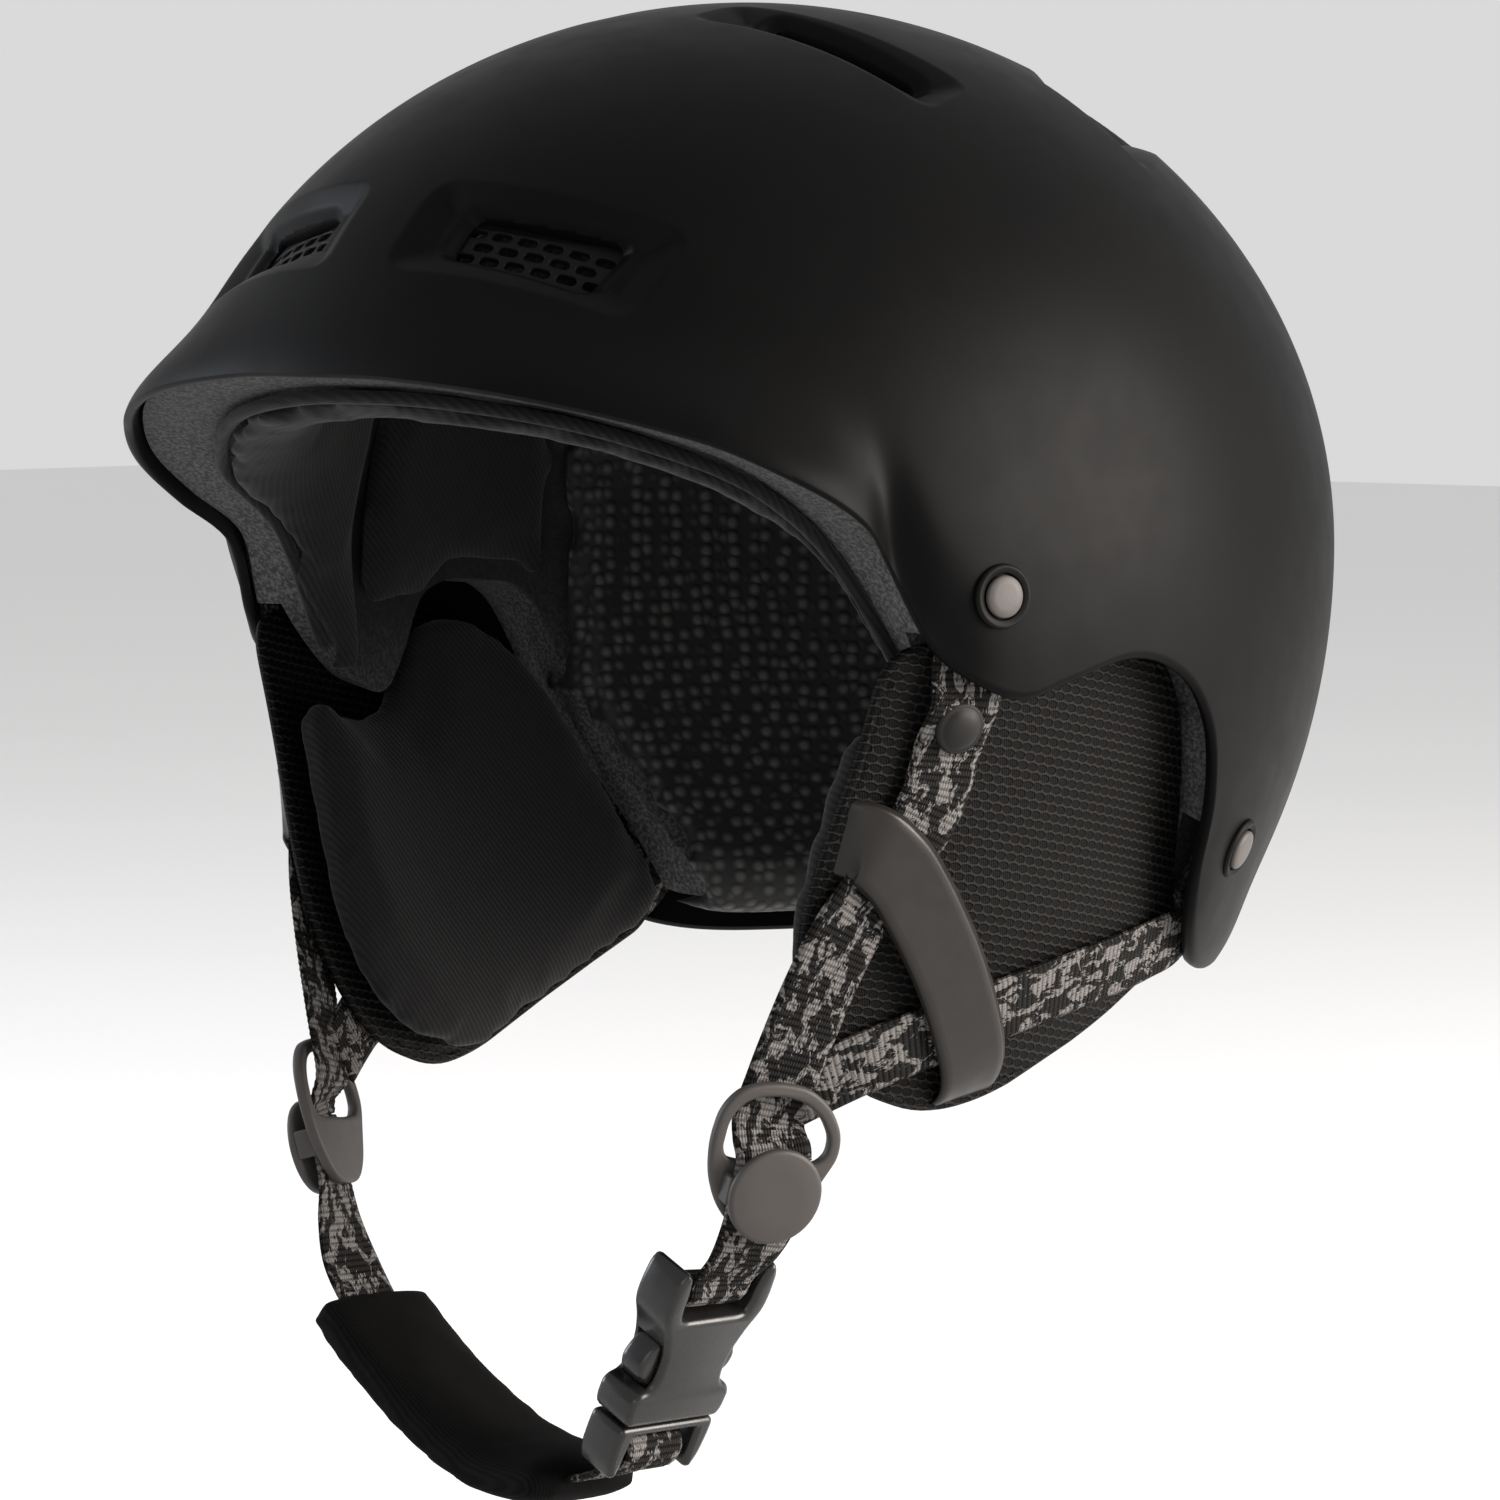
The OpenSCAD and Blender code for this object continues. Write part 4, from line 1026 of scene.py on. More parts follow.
def lip_rows(turn, first):
    """Points under the foam's rim, from the share first across it to its inner edge."""
    low = curve(FOAM_RIM, fold(turn))
    edge = np.maximum(curve(SHELL_RIM, fold(turn)) + RIM_GAP, low)
    outer = flared(dome(turn, rise_at(edge, FOAM_OUT), FOAM_OUT), turn)
    inner = dome(turn, rise_at(low, FOAM_IN), FOAM_IN)
    rows = []
    for part in np.linspace(0, 0.94, 6):
        share = (first + (1 - first) * part)[:, None]
        row = outer * (1 - share) + inner * share
        row[:, 2] -= 0.9 + 0.8 * np.sin(np.pi * share[:, 0])
        rows.append(row)
    return np.array(rows)


def relaxed(base, passes=4):
    """The same grid with its sharp bend across the rows eased."""
    for _ in range(passes):
        base[1:-1] = base[1:-1] / 2 + (base[:-2] + base[2:]) / 4
    return base


def brow_panel():
    """Brow padding whose lower edge folds out under the foam's rim."""
    turn, wall = panel_base(-BROW_TURN, BROW_TURN, brow_low, level(BROW_TOP_Z))
    first = LIP_START + (LIP_LAST - LIP_START) * smooth((fold(turn) - LIP_END_TURN) / LIP_FADE)
    base = relaxed(np.concatenate([lip_rows(turn, first), wall]))
    brow = cushion("brow_padding", base, 4.4, 4.0, 1.6)
    edge = base[0] + (base[0] - base[1]) * 0.2
    edge[:, 2] -= 1.3
    return brow, edge[3:-3]


def brow_low(turn):
    return np.maximum(curve(FOAM_RIM, turn) + RIM_GAP, BROW_LOW_Z)


def side_low(turn):
    return np.maximum(curve(FOAM_RIM, turn) + RIM_GAP, SIDE_LOW_Z)


def rear_low(turn):
    return curve(FOAM_RIM, turn) + 2.4


def level(z):
    return lambda turn: z + 0 * turn


def head_padding():
    """The brow, side, rear and crown padding, and the piping of the brow."""
    brow, brow_edge = brow_panel()
    side = panel("side_padding_left", BROW_TURN + PANEL_GAP, SIDE_TURN, side_low, level(SIDE_TOP_Z))
    start = SIDE_TURN + PANEL_GAP
    turn, wall = panel_base(start, 360 - start, rear_low, level(SIDE_TOP_Z))
    rear_base = relaxed(np.concatenate([lip_rows(turn, REAR_LIP + 0 * turn), wall]))
    rear = cushion("rear_padding", rear_base, 4.0, 4.0, 1.2)
    for cutter in pad_room(1.6):
        combine(rear, cutter, "DIFFERENCE")
    for obj in (brow, side, rear):
        soften(obj, 3.6, 1.4)
    other = mirrored(side, "side_padding_right")
    finish_piece(brow, "helmet", "lining_black", "brow_pad")
    finish_piece(side, "helmet", "spacer_mesh", "side_pad_left", look="lining_black")
    finish_piece(other, "helmet", "spacer_mesh", "side_pad_right", look="lining_black")
    finish_piece(rear, "helmet", "spacer_mesh", "rear_pad")
    crown = crown_padding()
    brow_piping(brow_edge)


def crown_padding():
    """A round cushion that fills the dome above the other padding."""
    turn = np.linspace(0, 360, 180, endpoint=False)
    edge_z = np.where(fold(turn) <= BROW_TURN, BROW_TOP_Z, SIDE_TOP_Z) + PANEL_GAP
    low = rise_at(edge_z, PADDING_OUT)
    share = np.linspace(0, 1, 36)[:, None]
    rise = low[None, :] + (89.0 - low[None, :]) * share
    deep = (rise - low[None, :]) * math.radians(90)
    swell = np.sqrt(1 - (1 - np.clip(deep / 5.0, 0, 1)) ** 2)
    middle = PADDING_OUT + 2.2
    around = turn[None, :] + 0 * rise
    outer = dome(around, rise, middle - 2.2 * swell)
    inner = dome(around, rise, middle + 2.2 * swell + 1.2 * smooth(deep / 18))
    rows = np.concatenate([outer[::-1], inner[1:]])
    crown = ring_mesh("crown_padding", rows, [outer[-1].mean(0), inner[-1].mean(0)])
    soften(crown, 4.5, 2.0)
    return finish_piece(crown, "helmet", "spacer_mesh", "crown_pad")


def headings(line):
    """Unit direction along a line at each of its points."""
    along = np.gradient(line, axis=0)
    return along / np.linalg.norm(along, axis=1)[:, None]


def round_rows(line, side, up, radius, steps):
    """A circle of points round each point of a line."""
    angle = np.linspace(0, 2 * math.pi, steps, endpoint=False)
    return line[:, None, :] + radius * (
        np.cos(angle)[None, :, None] * side[:, None, :] + np.sin(angle)[None, :, None] * up[:, None, :]
    )


def tube(name, line, radius, steps=10):
    """A round cord-like seam along a line of points, closed at both ends."""
    along = headings(line)
    side = np.cross(along, [0.3, 0.2, 1.0])
    side /= np.linalg.norm(side, axis=1)[:, None]
    up = np.cross(along, side)
    return ring_mesh(name, round_rows(line, side, up, radius, steps), [line[0], line[-1]])


def brow_piping(edge):
    """The overlocked edge along the lower side of the brow padding."""
    line = spline(edge, 1.2)[0]
    piping = tube("brow_piping", line, 1.4)
    finish_piece(piping, "helmet", "lining_black")


# ---- Straps ----
STRAP_OFF, WEB_W, WEB_T = 1.7, 16.0, 1.6
LOOP_Y, DIVIDER_Z = -61.5, -76.0
STRAP_CENTRE = STRAP_OFF + 5
STRAP_INSET = 6.6
FRONT_ROUTE = [
    (dome_x(-40.5, 41, STRAP_INSET), -40.5, 41), (dome_x(-40.5, 30, STRAP_INSET), -40.5, 30),
    (dome_x(-41, 22, STRAP_INSET + 0.6), -41, 22), (pad_face(-41, 14, STRAP_OFF + 1.6)[0], -41, 14),
    pad_face(-41, 6, STRAP_OFF), pad_face(-41.5, -4, STRAP_OFF), pad_face(-44.5, -13, STRAP_OFF),
    pad_face(-49, -22, STRAP_OFF), pad_face(-53.5, -31, STRAP_OFF), pad_face(-56.5, -42, STRAP_OFF),
    pad_face(-58.5, -53, STRAP_OFF), pad_face(-59.5, -60, STRAP_OFF),
    pad_face(-60.4, -67.2, STRAP_OFF + 0.1), pad_face(-61.2, -71.1, STRAP_OFF + 2.4),
    pad_face(LOOP_Y, DIVIDER_Z + 2.7, STRAP_CENTRE - 0.9),
    pad_face(LOOP_Y, DIVIDER_Z + 0.1, STRAP_CENTRE),
]
REAR_ROUTE = [
    (dome_x(49, -14, STRAP_INSET), 49, -14), (dome_x(49.3, -23, STRAP_INSET), 49.3, -23),
    (dome_x(49.3, -30, STRAP_INSET + 0.6), 49.3, -30), pad_face(45, -36.5, STRAP_OFF + 1.3),
    pad_face(36, -39.3, STRAP_OFF), pad_face(25, -41.2, STRAP_OFF), pad_face(13, -43.2, STRAP_OFF),
    pad_face(0, -45.6, STRAP_OFF), pad_face(-13, -48.5, STRAP_OFF), pad_face(-26, -51.8, STRAP_OFF),
    pad_face(-39, -55.8, STRAP_OFF), pad_face(-46.5, -58.8, STRAP_OFF - 0.4),
    pad_face(-56.2, -63.4, STRAP_OFF - 0.8),
]


def route_way(route, i):
    route = np.array(route, float)
    return unit(route[min(i + 1, len(route) - 1)] - route[max(i - 1, 0)])


def strap_ways(route, on_shell):
    """Widthways direction at each point: level on the shell first, then across the pad."""
    ways = []
    for i, p in enumerate(np.array(route, float)):
        if i < on_shell:
            ways.append(unit(np.array([-((HALF_W / HALF_L) ** 2) * p[1] / p[0], 1, 0])))
        else:
            ways.append(unit(np.cross(pad_normal(p[1]), route_way(route, i))))
    for i in range(1, len(ways)):
        if ways[i] @ ways[i - 1] < 0:
            ways[i] = -ways[i]
    return ways


def upper_straps():
    """Front and rear straps: each bends where it leaves the helmet and, in front, at the divider."""
    front_ways = strap_ways(FRONT_ROUTE, 4)
    rear_ways = strap_ways(REAR_ROUTE, 3)
    for side, sign in SIDES.items():
        pad = f"ear_pad_{side}"
        made = []
        for name, route, ways, wide, part in (
            ("front_strap_upper", FRONT_ROUTE, front_ways, WEB_W, (0, 7)),
            ("front_strap_lower", FRONT_ROUTE, front_ways, WEB_W, (7, len(FRONT_ROUTE) - 1)),
            ("rear_strap_upper", REAR_ROUTE, rear_ways, WEB_W - 2, (0, 6)),
            ("rear_strap_lower", REAR_ROUTE, rear_ways, WEB_W - 2, (6, len(REAR_ROUTE) - 1)),
        ):
            made.append(ribbon(f"{name}_{side}", route, ways, wide, WEB_T, part))
        if sign < 0:
            for obj in made:
                obj.data.transform(Matrix.Diagonal((-1, 1, 1, 1)))
                obj.data.flip_normals()
        upper, lower, rear_upper, rear_lower = made
        finish_piece(upper, None, "webbing", f"front_strap_{side}")
        finish_piece(lower, None, "webbing")
        finish_piece(rear_upper, None, "webbing", f"rear_strap_{side}")
        finish_piece(rear_lower, None, "webbing")
        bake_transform(upper)
        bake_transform(lower)
        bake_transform(rear_upper)
        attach(rear_lower, pad)


# ---- Chin loop ----
TILT = math.radians(28)
MOUTH = np.array([31.0, -127.0])
DOWN_WAY = np.array([-math.sin(TILT), -math.cos(TILT)])
OUT_WAY = np.array([math.cos(TILT), -math.sin(TILT)])
SOCKET_BAR, PLUG_BAR = -30.0, 9.5
DIVIDER_X = pad_face(LOOP_Y, DIVIDER_Z, STRAP_CENTRE)[0]


def on_buckle(along, out):
    return MOUTH + DOWN_WAY * along + OUT_WAY * out


def under_cap(drop):
    return (DIVIDER_X - math.tan(PAD_LEAN) * drop, DIVIDER_Z + 0.6 - drop)


def loop_width(p):
    """Level at the chin, turned to face along each divider higher up."""
    facing = np.cross([math.sin(PAD_LEAN), 0, math.cos(PAD_LEAN)], pad_normal(LOOP_Y))
    share = min(max((p[1] + 106) / 18, 0), 1)
    across = np.array([facing[0] * (1 if p[0] > 0 else -1), facing[1], facing[2]])
    return unit(np.array([0, 1, 0]) * (1 - share) + across * share)


def loop_point(p):
    return (p[0], LOOP_Y, p[1])


LOWER_ROUTE = [
    under_cap(0.6), under_cap(6.5), under_cap(13), (54.4, -95),
    on_buckle(SOCKET_BAR - 2.5, 3.2), on_buckle(SOCKET_BAR + 1.2, 3.4), on_buckle(SOCKET_BAR + 3.4, 1.6),
    on_buckle(SOCKET_BAR + 3.2, -1.6), on_buckle(SOCKET_BAR - 1, -2.6),
]
CHIN_ROUTE = [
    on_buckle(PLUG_BAR - 4.4, -1.5), on_buckle(PLUG_BAR - 4.8, 1.6), on_buckle(PLUG_BAR - 2.6, 3.5),
    on_buckle(PLUG_BAR + 0.8, 3.5), on_buckle(PLUG_BAR + 3.4, 1.2), on_buckle(PLUG_BAR + 4.6, -2),
    (20, -140.4), (11, -142.4), (0, -142.2), (-10, -139.8), (-20, -135), (-30, -128.6), (-39, -121.6),
    (-47, -114.4), (-53.6, -105.5), (-57.2, -96.5),
] + [(-under_cap(drop)[0], under_cap(drop)[1]) for drop in (13, 6.5, 0)]
# Points of the chin strap's route: where it leaves the buckle, and where its bending end begins
CHIN_START = 6
CHIN_END = CHIN_START + 9


def loop_ribbon(name, route, part=None):
    points = [loop_point(p) for p in route]
    return ribbon(name, points, [loop_width(p) for p in route], WEB_W, WEB_T, part)


def chin_loop():
    """The left lower strap, the chin strap with its bending end, and the chin pad."""
    lower = loop_ribbon("lower_strap", LOWER_ROUTE)
    finish_piece(lower, None, "webbing", "lower_strap_left")
    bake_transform(lower)
    main = loop_ribbon("chin_webbing", CHIN_ROUTE, (0, CHIN_END))
    finish_piece(main, "chin", "webbing", "chin_strap")
    end = loop_ribbon("chin_webbing_end", CHIN_ROUTE, (CHIN_END, len(CHIN_ROUTE) - 1))
    finish_piece(end, None, "webbing")
    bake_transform(end)
    chin_padding()


CHIN_PAD_W, CHIN_PAD_T = 31.0, 9.6


def chin_padding():
    """A soft padded sleeve that bends round the chin."""
    line, run, marks = spline([loop_point(p) for p in CHIN_ROUTE], 1.6)
    first = (marks[CHIN_START] + marks[CHIN_START + 1]) / 2
    last = (marks[CHIN_START + 7] + marks[CHIN_START + 8]) / 2
    line = line[(run >= first) & (run <= last)]
    out = np.cross(headings(line), [0, 1, 0])
    angle = np.linspace(0, 2 * math.pi, 72, endpoint=False)
    power = 0.5
    u = np.sign(np.cos(angle)) * np.abs(np.cos(angle)) ** power
    h = np.sign(np.sin(angle)) * np.abs(np.sin(angle)) ** power
    total = len(line)
    rows = []
    for i in range(total):
        near_end = min(i, total - 1 - i) / 3.0
        full = math.sqrt(max(0.0, 1 - (1 - min(1.0, near_end)) ** 2))
        wide, thick = CHIN_PAD_W / 2 - 2.0 * (1 - full), CHIN_PAD_T / 2 - 2.0 * (1 - full)
        rows.append(line[i] + np.outer(u * wide, [0, 1, 0]) + np.outer(h * thick, out[i]))
    pad = ring_mesh("chin_padding", np.array(rows), [line[0], line[-1]])
    soften(pad, 3.6, 1.5)
    finish_piece(pad, "chin_pad", "chin_fabric", "chin_pad")


# ---- Ear pads ----
BAND_OFF = STRAP_OFF + WEB_T / 2 + 1.4
SNAP_PROFILE = [
    (0, 0), (5.2, 0), (5.4, 0.4), (5.3, 1.0), (4.7, 1.5), (4.4, 1.4), (4.0, 1.75), (2.6, 2.3), (1.2, 2.5),
    (0, 2.55),
]


def band_route():
    """The plastic band's route, from the pad's front seam to its lower one, and its widthways directions."""
    route = [
        pad_face(-57, -11.6, -1.2), pad_face(-55.4, -12.6, 1.0), pad_face(-53.4, -13.6, BAND_OFF - 1),
        pad_face(-50, -16.4, BAND_OFF), pad_face(-45, -21, BAND_OFF), pad_face(-37, -30.5, BAND_OFF),
        pad_face(-29, -41, BAND_OFF), pad_face(-21, -53.5, BAND_OFF), pad_face(-17.4, -60, BAND_OFF - 0.8),
        pad_face(-15.6, -63.8, 1.2), pad_face(-14.8, -65.6, -1.0),
    ]
    ways = [-unit(np.cross(pad_normal(p[1]), route_way(route, i))) for i, p in enumerate(route)]
    return route, ways


def ear_pads():
    """Both ear pads: the left one is made, and the right one is its mirror."""
    outline = rounded(MESH_OUTLINE, 8)
    inner_outline = rounded(CORE_OUTLINE, 8)
    mesh = puffed("pad_outer_mesh_left", outline, -2.5, 0.0, 1.6, 2.4)
    middle = inner_outline.mean(0)
    core = puffed("pad_core_left", middle + (inner_outline - middle) * 0.9, -9.6, -4.4, 3.0, 3.0)
    lining = puffed("pad_inner_lining_left", rounded(LINING_OUTLINE, 7), -12.4, -5.6, 3.4, 2.2, crown=0.8)
    soften(lining, 3.6, 1.6)
    band = ribbon("pad_strap_band_left", *band_route(), 16.6, 1.5, step=1.0, rib_h=0.0, edge=1.2)
    snap_spot = PadSpot(-41, 9.5, STRAP_OFF + WEB_T / 2 + 0.3)
    snap = lathe("pad_snap_button_left", snap_spot, SNAP_PROFILE)
    centre = outline.mean(0)
    inset = centre + (outline - centre) * 0.975
    edge_line = pad_point(inset[:, 0], inset[:, 1], -1.2)
    binding = closed_tube("pad_edge_binding_left", edge_line, 1.2)
    parts = (
        (mesh, "pad_mesh", "spacer_mesh", "outer_mesh"), (core, "pad_foam", "foam_grey", None),
        (lining, "pad_lining", "lining_black", None), (band, "pad_band", "band_brown", None),
        (snap, "pad_snap", "snap_grey", None), (binding, None, "spacer_mesh", "outer_mesh"),
    )
    for obj, node, slot, look in parts:
        other = mirrored(obj, obj.name.replace("left", "right"))
        for piece, side in ((obj, "left"), (other, "right")):
            nodes = [f"{node}_{side}"] if node else []
            finish_piece(piece, f"ear_pad_{side}", slot, *nodes, look=look)


def closed_tube(name, line, radius, steps=8):
    """A round seam along a closed line."""
    line = spline(np.concatenate([line, line[:1]]), 1.5)[0][:-1]
    along = np.roll(line, -1, 0) - np.roll(line, 1, 0)
    along /= np.linalg.norm(along, axis=1)[:, None]
    side = np.array([pad_normal(p[1]) for p in line])
    up = np.cross(along, side)
    return hoop_mesh(name, round_rows(line, side, up, radius, steps))


class PadSpot(Spot):
    """A frame that stands on the ear pad's outer face."""

    def __init__(self, y, z, off):
        self.at = pad_face(y, z, off)
        self.out = pad_normal(y)
        up = np.array([math.sin(PAD_LEAN), 0, math.cos(PAD_LEAN)])
        self.across = unit(np.cross(up, self.out))
        self.up = np.cross(self.out, self.across)


# ---- Rivets ----
# Places (y, z), and profiles as (radius, height)
RIVET_PLACES = ((-40.5, 35), (49, -19.3))
RIVET_PROFILE = [
    (0, -3), (2.2, -3), (2.2, 0.2), (4.0, 0.3), (4.15, 0.6), (4.1, 1.1), (3.8, 1.45), (2.4, 1.6), (0, 1.65),
]
WASHER_PROFILE = [
    (4.5, 0.1), (4.5, 0.5), (4.8, 0.75), (5.3, 0.8), (5.6, 0.95), (6.0, 0.9), (6.3, 0.5), (6.4, 0.0),
    (5.4, -0.6),
]


def rivets():
    """The heads of the four rivets as one piece, and the rings round them as another."""
    heads, rings = [], []
    for y, z in RIVET_PLACES:
        spot = side_spot(y, z)
        heads.append(lathe("head", spot, RIVET_PROFILE))
        rings.append(washer_ring("ring", spot))
    for name, slot, node, parts in (
        ("rivet_heads", "rivet_grey", "strap_rivets", heads),
        ("rivet_rings", "washer_black", "rivet_washers", rings),
    ):
        parts += [mirrored(p, "part") for p in parts]
        finish_piece(join(name, parts), "helmet", slot, node)


def washer_ring(name, spot):
    """A stepped ring round a rivet head."""
    angle = np.linspace(0, 2 * math.pi, 72, endpoint=False)
    return hoop_mesh(name, turned_rows(spot, WASHER_PROFILE, angle))


def join(name, parts):
    """One object from several."""
    bm = bmesh.new()
    for part in parts:
        bm.from_mesh(part.data)
        bpy.data.objects.remove(part)
    mesh = bpy.data.meshes.new(name)
    bm.to_mesh(mesh)
    bm.free()
    mesh.shade_smooth()
    return new_object(name, mesh)


# ---- Dividers and buckle ----
class Plane(Spot):
    """A frame at a given place."""

    def __init__(self, at, across, up):
        self.at, self.across, self.up = (np.array(v, float) for v in (at, across, up))
        self.out = np.cross(self.across, self.up)

    def moved(self, u, v, h):
        return Plane(self.world(u, v, h), self.across, self.up)


DIVIDER_OUTLINE = [
    (-9.4, -9), (-12.4, -3), (-13.6, 4), (-12.9, 11), (-9.4, 15.6), (-2.5, 17.1), (5, 16.4), (10.4, 13),
    (14, 7.6), (14.5, 2.6), (12.6, -1.6), (9.4, -9), (5, -13.4), (-5, -13.4),
]
DIVIDER_WINDOW = [
    (-10.8, 3), (-10.7, 8.4), (-9, 12), (-5.6, 13.8), (-0.6, 14.3), (4.6, 13.4), (8.8, 10.6), (11.6, 6.4),
    (11.7, 3), (10, 1), (5, 0.4), (-6, 0.4), (-9.6, 1),
]
CAP_V, CAP_H, CAP_R, CAP_T = -4.5, 5.8, 9.8, 2.0


def cap_profile(radius, thick):
    return [
        (0, 0), (radius - 0.5, 0), (radius, 0.5), (radius, thick - 0.6), (radius - 0.25, thick - 0.2),
        (radius - 0.9, thick), (radius * 0.5, thick + 0.15), (0, thick + 0.2),
    ]


def dividers():
    """Both strap dividers: a plate with a window, two posts and a round cap."""
    spot = PadSpot(LOOP_Y + 1.4, DIVIDER_Z, STRAP_OFF + 1.5)
    spot = Plane(spot.at, spot.across, spot.up)
    holes = [rounded(DIVIDER_OUTLINE, 3), rounded(DIVIDER_WINDOW, 2)]
    plate = flat_shape("plate", holes, 2.4, 0.8, spot.moved(0, 0, 1.0).world)
    posts = []
    for u in (-9.1, 9.1):
        outline = rounded([(u - 0.7, -7.4), (u + 0.7, -7.4), (u + 0.7, -1.6), (u - 0.7, -1.6)], 0.6)
        posts.append(flat_shape("post", [outline], 4.4, 0.3, spot.moved(0, 0, 3.8).world))
    frame_left = join("divider_frame_left", [plate] + posts)
    cap_left = lathe("divider_disc_left", spot.moved(0, CAP_V, CAP_H), cap_profile(CAP_R, CAP_T))
    for obj, node in ((frame_left, "divider"), (cap_left, "divider_cap")):
        obj.data.set_sharp_from_angle(angle=math.radians(50))
        other = mirrored(obj, obj.name.replace("left", "right"))
        finish_piece(obj, "slider_left", "divider_grey", f"{node}_left")
        finish_piece(other, "slider_right", "divider_grey", f"{node}_right")


def both_sides(half):
    """A closed outline from its right half, listed from bottom to top."""
    return half + [(-u, v) for u, v in reversed(half)]


SOCKET_HALF = [
    (12.6, 0), (13.7, 2), (13.9, 6), (12.6, 7.6), (10.2, 8.4), (9.3, 11), (9.5, 15.5), (11.4, 20.5),
    (14.1, 25), (14.4, 29), (13.9, 34), (12.4, 36), (10.8, 35), (9.9, 31), (9.7, 27), (9, 24.9), (7.4, 24.4),
]
PLUG_HALF = [
    (9.2, -3.4), (9.4, -9), (9.9, -12.2), (11.6, -12.4), (12.9, -9), (13.3, -4), (13.2, -0.5),
]
PRONG = [
    (6.9, -1.2), (9.5, -1.2), (9.6, 8), (11, 8.9), (12.9, 10.6), (13.6, 13.2), (12.4, 16.2), (10.3, 18.6),
    (7.8, 19), (6.7, 17), (6.5, 8),
]
BUCKLE_T, POCKET_T, POCKET_HALF_W, BAR_R = 10.4, 7.0, 10.6, 1.9


def cross_bar(spot, v, reach):
    """A round bar across the buckle."""
    angle = np.linspace(0, 2 * math.pi, 24, endpoint=False)
    v_ring, h_ring = v + BAR_R * np.cos(angle), BAR_R * np.sin(angle)
    rows = np.array([spot.world(u + 0 * angle, v_ring, h_ring) for u in (-reach, 0, reach)])
    return ring_mesh("bar", rows, [rows[0].mean(0), rows[-1].mean(0)])


def buckle():
    """The socket with its pocket and bar, the plug with its guide and bar, and the two prongs."""
    spot = Plane((MOUTH[0], LOOP_Y, MOUTH[1]), (0, 1, 0), (math.sin(TILT), 0, math.cos(TILT)))
    socket = flat_shape("socket", [rounded(both_sides(SOCKET_HALF), 2)], BUCKLE_T, 1.3, spot.world)
    mouth = [(-POCKET_HALF_W, -2), (POCKET_HALF_W, -2), (POCKET_HALF_W, 21), (-POCKET_HALF_W, 21)]
    pocket = prism("pocket", mouth, spot.world, -POCKET_T / 2, POCKET_T / 2)
    combine(socket, pocket, "DIFFERENCE")
    socket_bar = cross_bar(spot, -SOCKET_BAR, POCKET_HALF_W)
    finish_piece(join("buckle_shell", [socket, socket_bar]), "strap_left", "buckle_black", "buckle_socket")
    outline = rounded(both_sides([(9, -2.6)] + PLUG_HALF), 1.6)
    base = flat_shape("base", [outline], BUCKLE_T - 0.8, 1.2, spot.world)
    guide = flat_shape("guide", [rounded([(-2, -1), (2, -1), (2, 14), (-2, 14)], 1)], 4.4, 0.5, spot.world)
    plug = join("buckle_base", [base, guide, cross_bar(spot, -PLUG_BAR, 9.6)])
    finish_piece(plug, "chin", "buckle_black", "buckle_plug")
    for name, sign in (("front", -1), ("rear", 1)):
        outline = rounded([(sign * u, v) for u, v in PRONG], 1.4)
        prong = flat_shape(f"buckle_prong_{name}", [outline[::sign]], POCKET_T - 0.6, 1.3, spot.world)
        finish_piece(prong, f"prong_{name}", "buckle_black", f"prong_{name}")


# ---- Goggle clip ----
TAB_T, HINGE_R, HINGE_EDGE, GRIP_BARS = 2.0, 3.1, 0.5, 4


def goggle_tab():
    """The flexible tab: a hinge barrel and a plate with rounded corners and grip bars."""
    low, high = (np.array(v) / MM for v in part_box("clip_tab"))
    half = (high[0] - low[0]) / 2
    tall = high[2] - low[2] - HINGE_R
    spot = Plane((0, high[1] - TAB_T / 2, low[2]), (-1, 0, 0), (0, 0, 1))
    left_edge = [(-half, tall), (-half, tall * 0.45), (-half * 0.78, 0)]
    corners = left_edge + [(-u, v) for u, v in reversed(left_edge)]
    plate = flat_shape("plate", [rounded(corners, 7)], TAB_T, 0.6, spot.world)
    parts = [plate]
    for i in range(GRIP_BARS):
        v = 5 + 3.4 * i
        bar = rounded([(-7, v - 0.8), (7, v - 0.8), (7, v + 0.8), (-7, v + 0.8)], 0.8)
        parts.append(flat_shape("grip", [bar], 1.4, 0.4, spot.moved(0, 0, TAB_T / 2).world))
    hinge = Plane((0, high[1] - TAB_T - 1.2, high[2] - HINGE_R), (0, 1, 0), (0, 0, 1))
    angle = np.linspace(0, 2 * math.pi, 40, endpoint=False)
    end_r = HINGE_R - HINGE_EDGE
    profile = [(end_r, -half), (HINGE_R, HINGE_EDGE - half), (HINGE_R, half - HINGE_EDGE), (end_r, half)]
    rows = turned_rows(hinge, profile, angle)
    parts.append(ring_mesh("barrel", rows, [rows[0].mean(0), rows[-1].mean(0)]))
    tab = join("goggle_tab_plate", parts)
    tab.data.set_sharp_from_angle(angle=math.radians(50))
    finish_piece(tab, "goggle_tab", "clip_rubber", "clip_tab")


# ---- Hard nodes that stay ----
BEVELS = {"clip_base": ("grille_black", 0.6), "clip_stud": ("grille_black", 0.5)}


def dress_nodes():
    """Rounds the edges of the hard nodes that stay, and gives them their materials."""
    for name, (slot, width) in BEVELS.items():
        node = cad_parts[name]
        node.data.materials.clear()
        node.data.materials.append(LOOKS[slot])
        step = node.modifiers.new("edges", "BEVEL")
        step.width = width * MM
        step.segments = 3
        step.limit_method = "ANGLE"
        step.angle_limit = math.radians(35)
        step.harden_normals = True
        node.data.shade_smooth()
        node.data.set_sharp_from_angle(angle=math.radians(35))


# ---- Stage ----
# The floor lies this far under the helmet, so that the opened chin strap clears it
FLOOR_DROP, FLOOR_HALF, WORLD_STRENGTH = 0.05, 6.0, 0.7
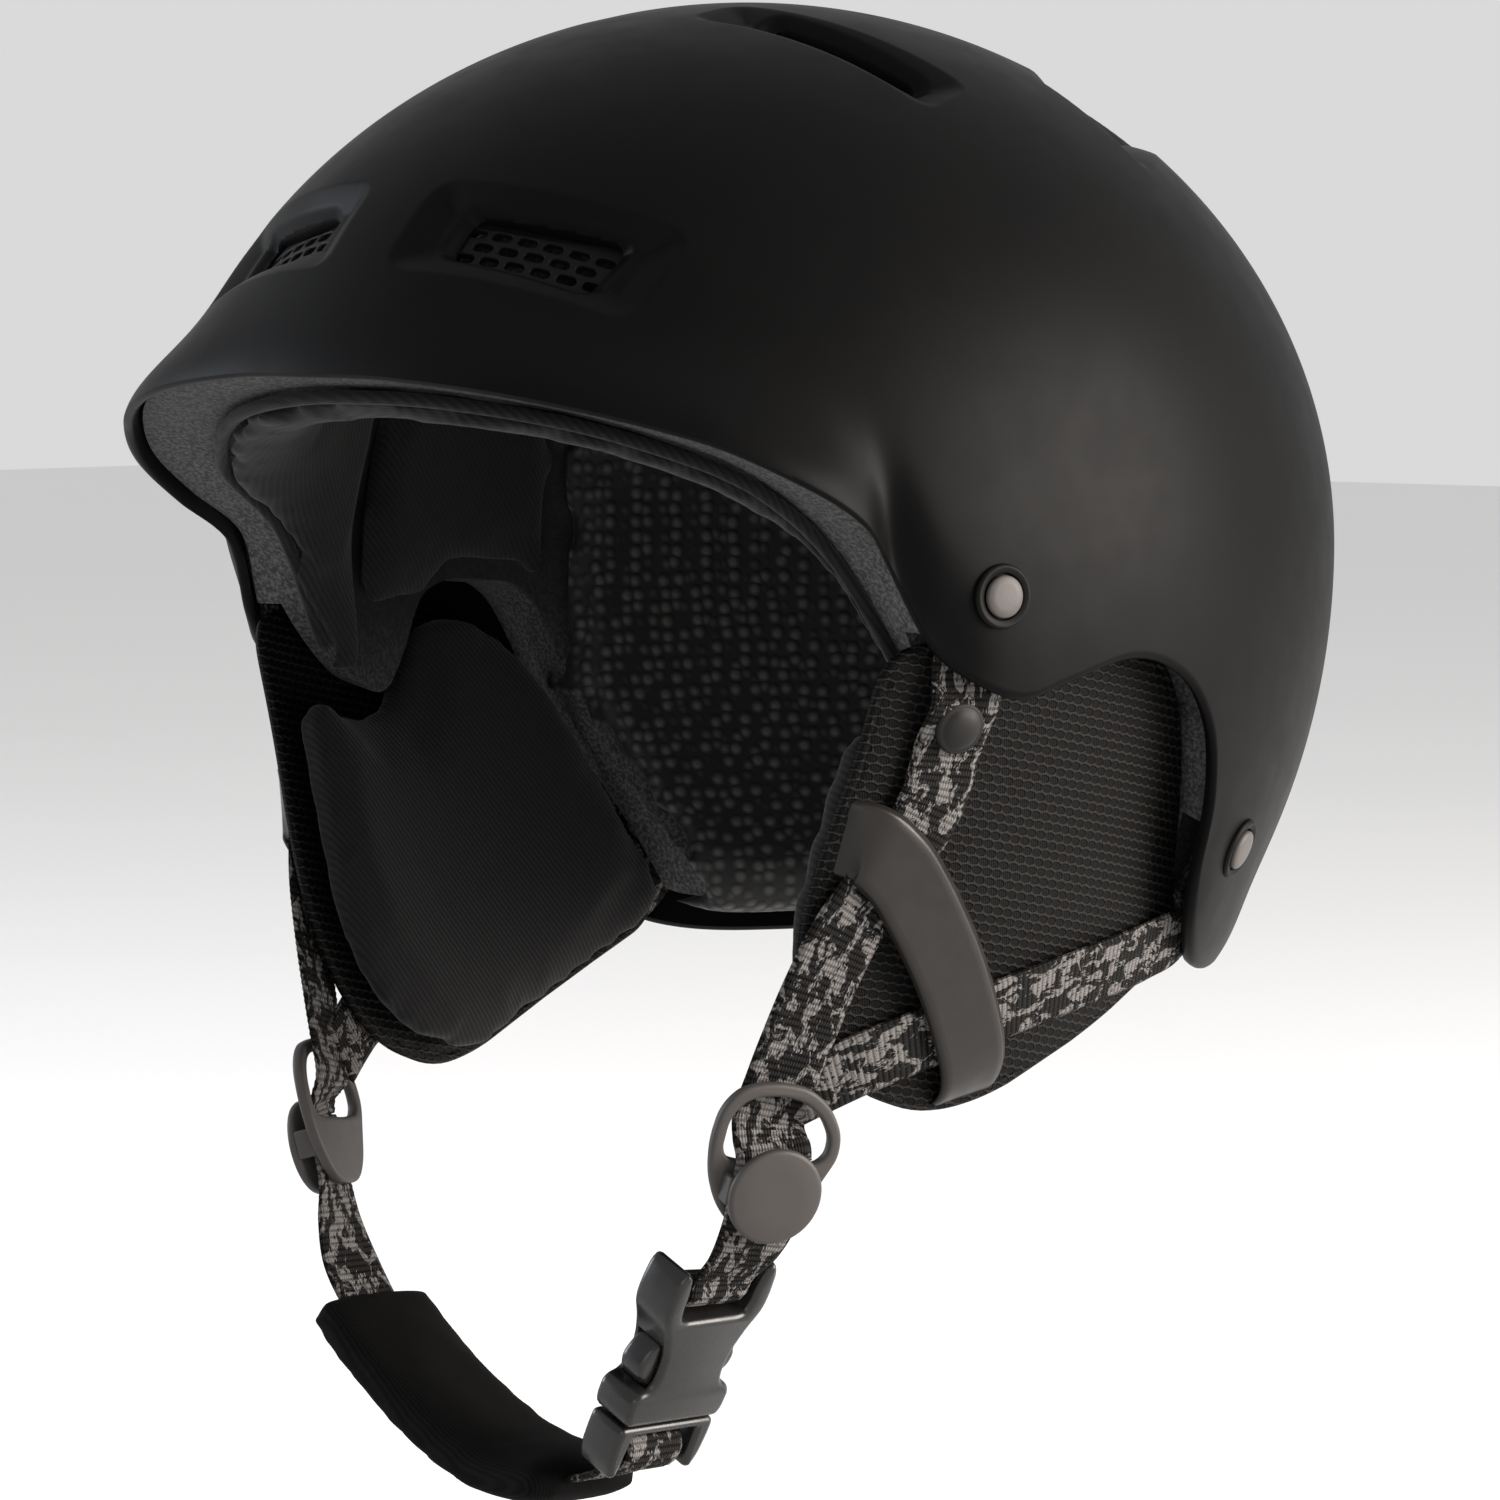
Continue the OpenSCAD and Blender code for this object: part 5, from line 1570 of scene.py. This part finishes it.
# Name, place, size, power and colour
LIGHTS = (
    ("cool", (-1.9, -0.9, 0.6), 1.0, 30, (0.84, 0.9, 1.0)),
    ("warm", (1.75, 1.1, 0.4), 1.5, 150, (1.0, 0.93, 0.87)),
    ("front", (1.2, -1.9, 0.2), 1.2, 10, (1.0, 0.98, 0.96)),
)


def stage():
    """The pale floor, the even sky and three soft lamps."""
    floor_mesh = bpy.data.meshes.new("floor")
    z = cad_low.z - FLOOR_DROP
    corners = [(x * FLOOR_HALF, y * FLOOR_HALF, z) for x, y in ((-1, -1), (1, -1), (1, 1), (-1, 1))]
    floor_mesh.from_pydata(corners, [], [(0, 1, 2, 3)])
    floor = new_object("floor", floor_mesh)
    paint = Shader("floor", (0.82, 0.82, 0.82), 0.9, Specular_IOR_Level=0.1)
    paint.color(paint.mix(paint.noise(300.0), (0.81, 0.81, 0.81), (0.83, 0.83, 0.83)))
    floor.data.materials.append(paint.material)
    world = bpy.data.worlds.new("studio")
    bpy.context.scene.world = world
    world.use_nodes = True
    world.node_tree.nodes["Background"].inputs["Color"].default_value = (1, 1, 1, 1)
    world.node_tree.nodes["Background"].inputs["Strength"].default_value = WORLD_STRENGTH
    for name, place, size, power, color in LIGHTS:
        data = bpy.data.lights.new(name, "AREA")
        data.size, data.energy, data.color = size, power, color
        lamp = new_object(name, data)
        lamp.location = place
        lamp.rotation_mode = "QUATERNION"
        lamp.rotation_quaternion = (-Vector(place)).to_track_quat("-Z", "Y")


AZIMUTH, ELEVATION, DISTANCE = math.radians(42.5), math.radians(3.7), 1.75
LENS, SENSOR_W, AIM = 205.8, 36, Vector((0, 0, -0.001))


def camera():
    """The photograph's viewing angle."""
    level_part = math.cos(ELEVATION)
    back = Vector((math.sin(AZIMUTH) * level_part, -math.cos(AZIMUTH) * level_part, math.sin(ELEVATION)))
    data = bpy.data.cameras.new("camera")
    data.lens = LENS
    data.sensor_width = SENSOR_W
    view = new_object("camera", data)
    view.location = AIM + back * DISTANCE
    view.rotation_mode = "QUATERNION"
    view.rotation_quaternion = (-back).to_track_quat("-Z", "Y")
    bpy.context.scene.camera = view


bpy.context.scene.view_settings.view_transform = "Standard"
hard_shell()
foam_liner()
grilles()
rivets()
head_padding()
ear_pads()
upper_straps()
chin_loop()
dividers()
buckle()
goggle_tab()
dress_nodes()
stage()
camera()
